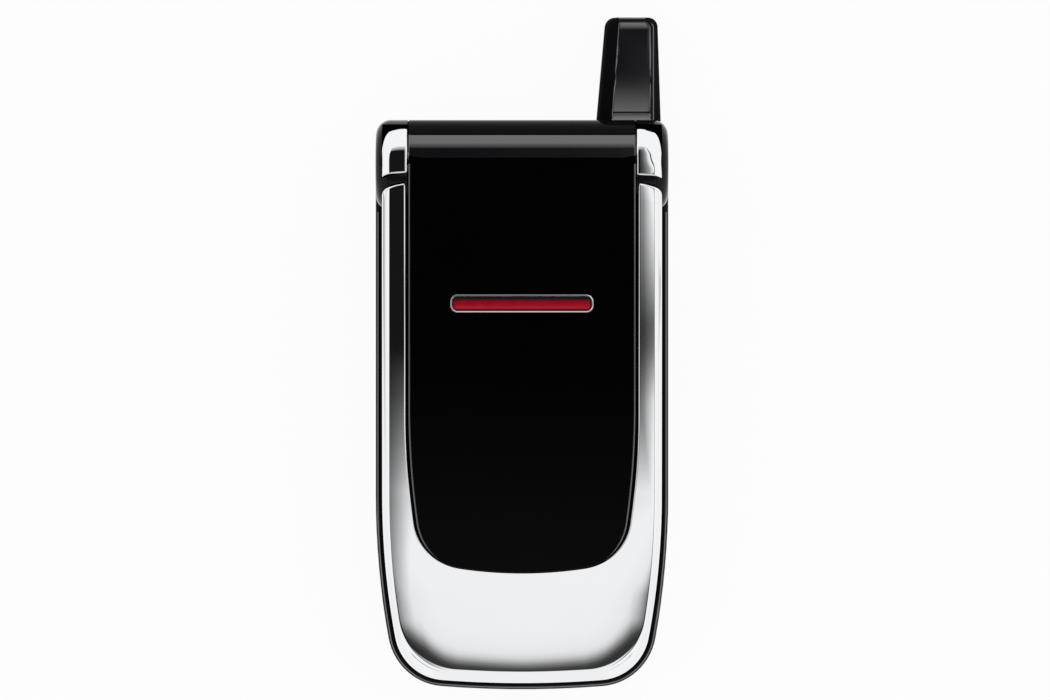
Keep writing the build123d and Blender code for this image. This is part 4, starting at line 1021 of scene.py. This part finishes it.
def build_world():
    """White to the camera; to the mirrors a studio of softboxes round a dark card overhead."""
    world = bpy.data.worlds.new("studio")
    bpy.context.scene.world = world
    tree = bare_tree(world)
    x, y, z = axes(tree, "Generated")
    forwards = math_node(tree, "MULTIPLY", y, -1.0)
    across = degrees_of(tree, x, z)
    ahead = degrees_of(tree, forwards, z)
    azimuth = degrees_of(tree, x, forwards)
    polar = math_node(tree, "MULTIPLY", math_node(tree, "ARCCOSINE", z), 180 / math.pi)

    def times(first, *others):
        for other in others:
            first = math_node(tree, "MULTIPLY", first, other)
        return first

    # bright beyond the dark overhead card: at both sides and low behind
    aside = [(28, 0), (34, 0.97), (50, 0.97), (62, 0.6), (76, 0.2), (90, 0.12)]
    aside = curve(tree, math_node(tree, "ABSOLUTE", across), aside)
    rear = curve(tree, ahead, [(-58, 0.97), (-50, 0.45), (-41, 0)])
    # a softbox in front, dimmer towards the left, its near edge soft
    front = curve(tree, ahead, [(3, 0), (4.3, 0.09), (8.7, 0.68), (12, 0.82), (16, 1), (22, 1.3)])
    spread = [(-50, 1.2), (-42, 0.9), (-34, 0.05), (-28, 0.07), (-22, 0.3), (-19, 0.34), (-14, 0.5)]
    spread += [(-9, 0.72), (-2, 1.2), (20, 1.25), (24, 0.3), (25.5, 0.04), (28, 0.04), (35, 1.2)]
    front = times(front, curve(tree, across, spread), 1.02)
    front = math_node(tree, "MINIMUM", front, CARD_STRENGTH)
    # a dimmer card at the right
    right = [(0.5, 0), (6, 0.14), (10, 0.24), (13, 0.42), (16, 0.56), (19, 0.7), (22, 0.82)]
    right = curve(tree, across, right + [(24, 0.3), (25.5, 0.04), (28, 0.04), (33, 1)])
    right_ahead = [(-1.5, 1.4), (0, 0.95), (1.2, 0.5), (2.2, 0.15), (3, 0.2), (3.8, 0.6)]
    right_ahead = curve(tree, ahead, right_ahead + [(4.6, 1.1), (8, 1.3)])
    lit = math_node(tree, "MINIMUM", times(right, right_ahead), CARD_STRENGTH)
    # bright low in front, which the bevel of the chin mirrors
    low_front = curve(tree, ahead, [(50, 0), (62, CARD_STRENGTH)])
    for other in (aside, rear, front, low_front):
        lit = math_node(tree, "MAXIMUM", lit, other)
    # a soft dark band low in front, over the chin's edge and its corners
    lean = [(-60, 0), (-38, 0.04), (-25, 0.25), (-17, 0.37), (-3, 0.16), (0, 0), (3, 0.17)]
    lean = curve(tree, azimuth, lean + [(15, 0.36), (25, 0.42), (38, 0.26), (60, 0)])
    band = [(20, 0), (26, 0.08), (28, 0.25), (29.5, 0.5), (31, 0.75), (33, 0.93), (34.8, 0.97)]
    band += [(41, 0.97), (46, 0)]
    band = curve(tree, math_node(tree, "ADD", polar, times(lean, BAND_LEAN)), band)
    off_front = math_node(tree, "ABSOLUTE", azimuth)
    band = times(band, curve(tree, off_front, [(45, 1), (60, 0.45), (74, 0)]))
    lit = times(lit, math_node(tree, "SUBTRACT", 1.0, band))
    lit = math_node(tree, "ADD", lit, SHADE_STRENGTH)
    seen = add_node(tree, "LightPath").outputs["Is Camera Ray"]
    lit = math_node(tree, "ADD", times(lit, math_node(tree, "SUBTRACT", 1.0, seen)), seen)
    background = add_node(tree, "Background", Color=(1, 1, 1, 1), Strength=lit)
    add_node(tree, "OutputWorld", Surface=background.outputs["Background"])


def build_floor():
    """A white sweep under the phone. It shows near white to the camera and keeps the shadow."""
    bm = bmesh.new()
    corners = ((-1, -1), (1, -1), (1, 1), (-1, 1))
    places = [(x * FLOOR_HALF, y * FLOOR_HALF, FLOOR_LEVEL) for x, y in corners]
    bm.faces.new([bm.verts.new(place) for place in places])
    floor = mesh_object(bm, "floor")
    material = bpy.data.materials.new("floor_white")
    tree = bare_tree(material)
    rays = add_node(tree, "LightPath").outputs
    seen = math_node(tree, "MAXIMUM", rays["Is Camera Ray"], rays["Is Glossy Ray"])
    seen = math_node(tree, "MAXIMUM", seen, rays["Is Transmission Ray"])
    mix = add_node(tree, "MixShader", Fac=math_node(tree, "MULTIPLY", seen, FLOOR_GLOW))
    diffuse = add_node(tree, "BsdfDiffuse", Color=(0.8, 0.8, 0.8, 1))
    glow = add_node(tree, "Emission", Strength=1.0)
    feed(tree, mix.inputs[1], diffuse.outputs["BSDF"])
    feed(tree, mix.inputs[2], glow.outputs["Emission"])
    add_node(tree, "OutputMaterial", Surface=mix.outputs["Shader"])
    floor.data.materials.append(material)


def build_lamp():
    """A wide overhead lamp that lights the colours without mirroring in the gloss."""
    lamp = bpy.data.lights.new("overhead", "AREA")
    lamp.shape = "SQUARE"
    lamp.size = 0.9
    lamp.energy = 2.6
    overhead = add_object("overhead", lamp)
    overhead.location = (0, 0, 0.8)
    overhead.visible_glossy = False


def build_camera():
    """Straight above the lid with a long lens, framed as the photograph is."""
    camera = bpy.data.cameras.new("camera")
    distance = 0.9
    frame_width = 0.158
    camera.sensor_width = 36.0
    camera.lens = camera.sensor_width * distance / frame_width
    camera.clip_start = 0.01
    camera_obj = add_object("camera", camera)
    lid_level = 0.012
    camera_obj.location = (0.00045, 0.00828, lid_level + distance)
    bpy.context.scene.camera = camera_obj


# ---------------------------------------- everything


def paint_node(name, material):
    """Gives a CAD node a finish through its object's slots."""
    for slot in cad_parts[name].material_slots:
        slot.link = "OBJECT"
        slot.material = material


def dress(piece, material, body, node=None):
    """Gives a piece its finish and its body, and hides the CAD node that it stands for."""
    piece.data.materials.clear()
    piece.data.materials.append(material)
    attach(piece, body)
    if node:
        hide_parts(node)


NODE_FINISH = {
    "black_gloss": ["antenna_cover", "keypad_fascia", "lid_window"],
    "body_gloss": ["rear_shell", "battery_cover", "cover_latch"],
    "shell_black": ["lid_outer_shell"],
    "display_glass": ["display_lens"],
    "chrome": ["lid_front_frame", "hinge_caps", "light_bar_ring", "navigation_ring"],
    "red_lens": ["light_bar_lens"],
    "key_silver": [f"key_{mark}" for mark in (*"0123456789", "star", "hash")]
                  + ["call_key", "end_key", "soft_key_left", "soft_key_right", "select_key"],
    "circuit_board": ["main_board", "lid_board"],
    "steel": ["shield_cans", "sim_holder", "speaker_mesh", "earpiece_mesh", "navigation_gimbal",
              "hinge_shaft", "lid_magnet", "base_screws", "lid_screws", "antenna_core",
              "vibration_motor", "vibration_weight", "hinge_cartridge"],
    "satin_black": ["board_chips", "charger_socket", "headset_socket", "microphone",
                    "battery_connector", "loudspeaker", "earpiece", "hinge_bush",
                    "display_module", "lid_inner_shell"],
    "rubber": ["keypad_mat", "lid_bumpers"],
    "film": ["dome_sheet"],
    "copper_film": ["hinge_flex"],
    "battery_label": ["battery_pack"],
}


def main():
    finishes = make_materials()
    for finish, nodes in NODE_FINISH.items():
        for node in nodes:
            paint_node(node, finishes[finish])
    chrome_frame = build_chrome_frame()
    window = build_window()
    ring, well, lens = build_light_bar()
    antenna = build_antenna()
    for piece, finish, body, slot, node in (
        (chrome_frame, "chrome", "lid", "chrome_trim", "lid_front_frame"),
        (window, "window", "lid", "window_black", "lid_window"),
        (ring, "chrome", "lid", "chrome_trim", "light_bar_ring"),
        (well, "black_gloss", "lid", "black_plastic", None),
        (lens, "red_lens", "lid", "red_lens", "light_bar_lens"),
        (antenna, "black_gloss", "body", "black_plastic", "antenna_cover"),
        (build_rim_bead(), "antenna_gloss", "body", "black_plastic", None),
        *[(edge, "antenna_gloss", "lid", "window_black", None) for edge in build_window_edges()],
        *[(cap, "chrome", "body", "chrome_trim", "hinge_caps") for cap in build_caps()],
    ):
        dress(piece, finishes[finish], body, node)
    gloss_antenna(antenna, finishes["antenna_gloss"])
    window.data.materials.append(finishes["hinge_gloss"])
    for face in window.data.polygons:
        if face.center.y > (HINGE_Y + 1.0) * MM:
            face.material_index = 1
    for label, finish, key in build_labels():
        slot = "black_plastic" if finish == "label_ink" else "silver_keys"
        dress(label, finishes[finish], key)
    build_world()
    build_floor()
    build_lamp()
    build_camera()
    bpy.context.scene.view_settings.view_transform = "Standard"


main()
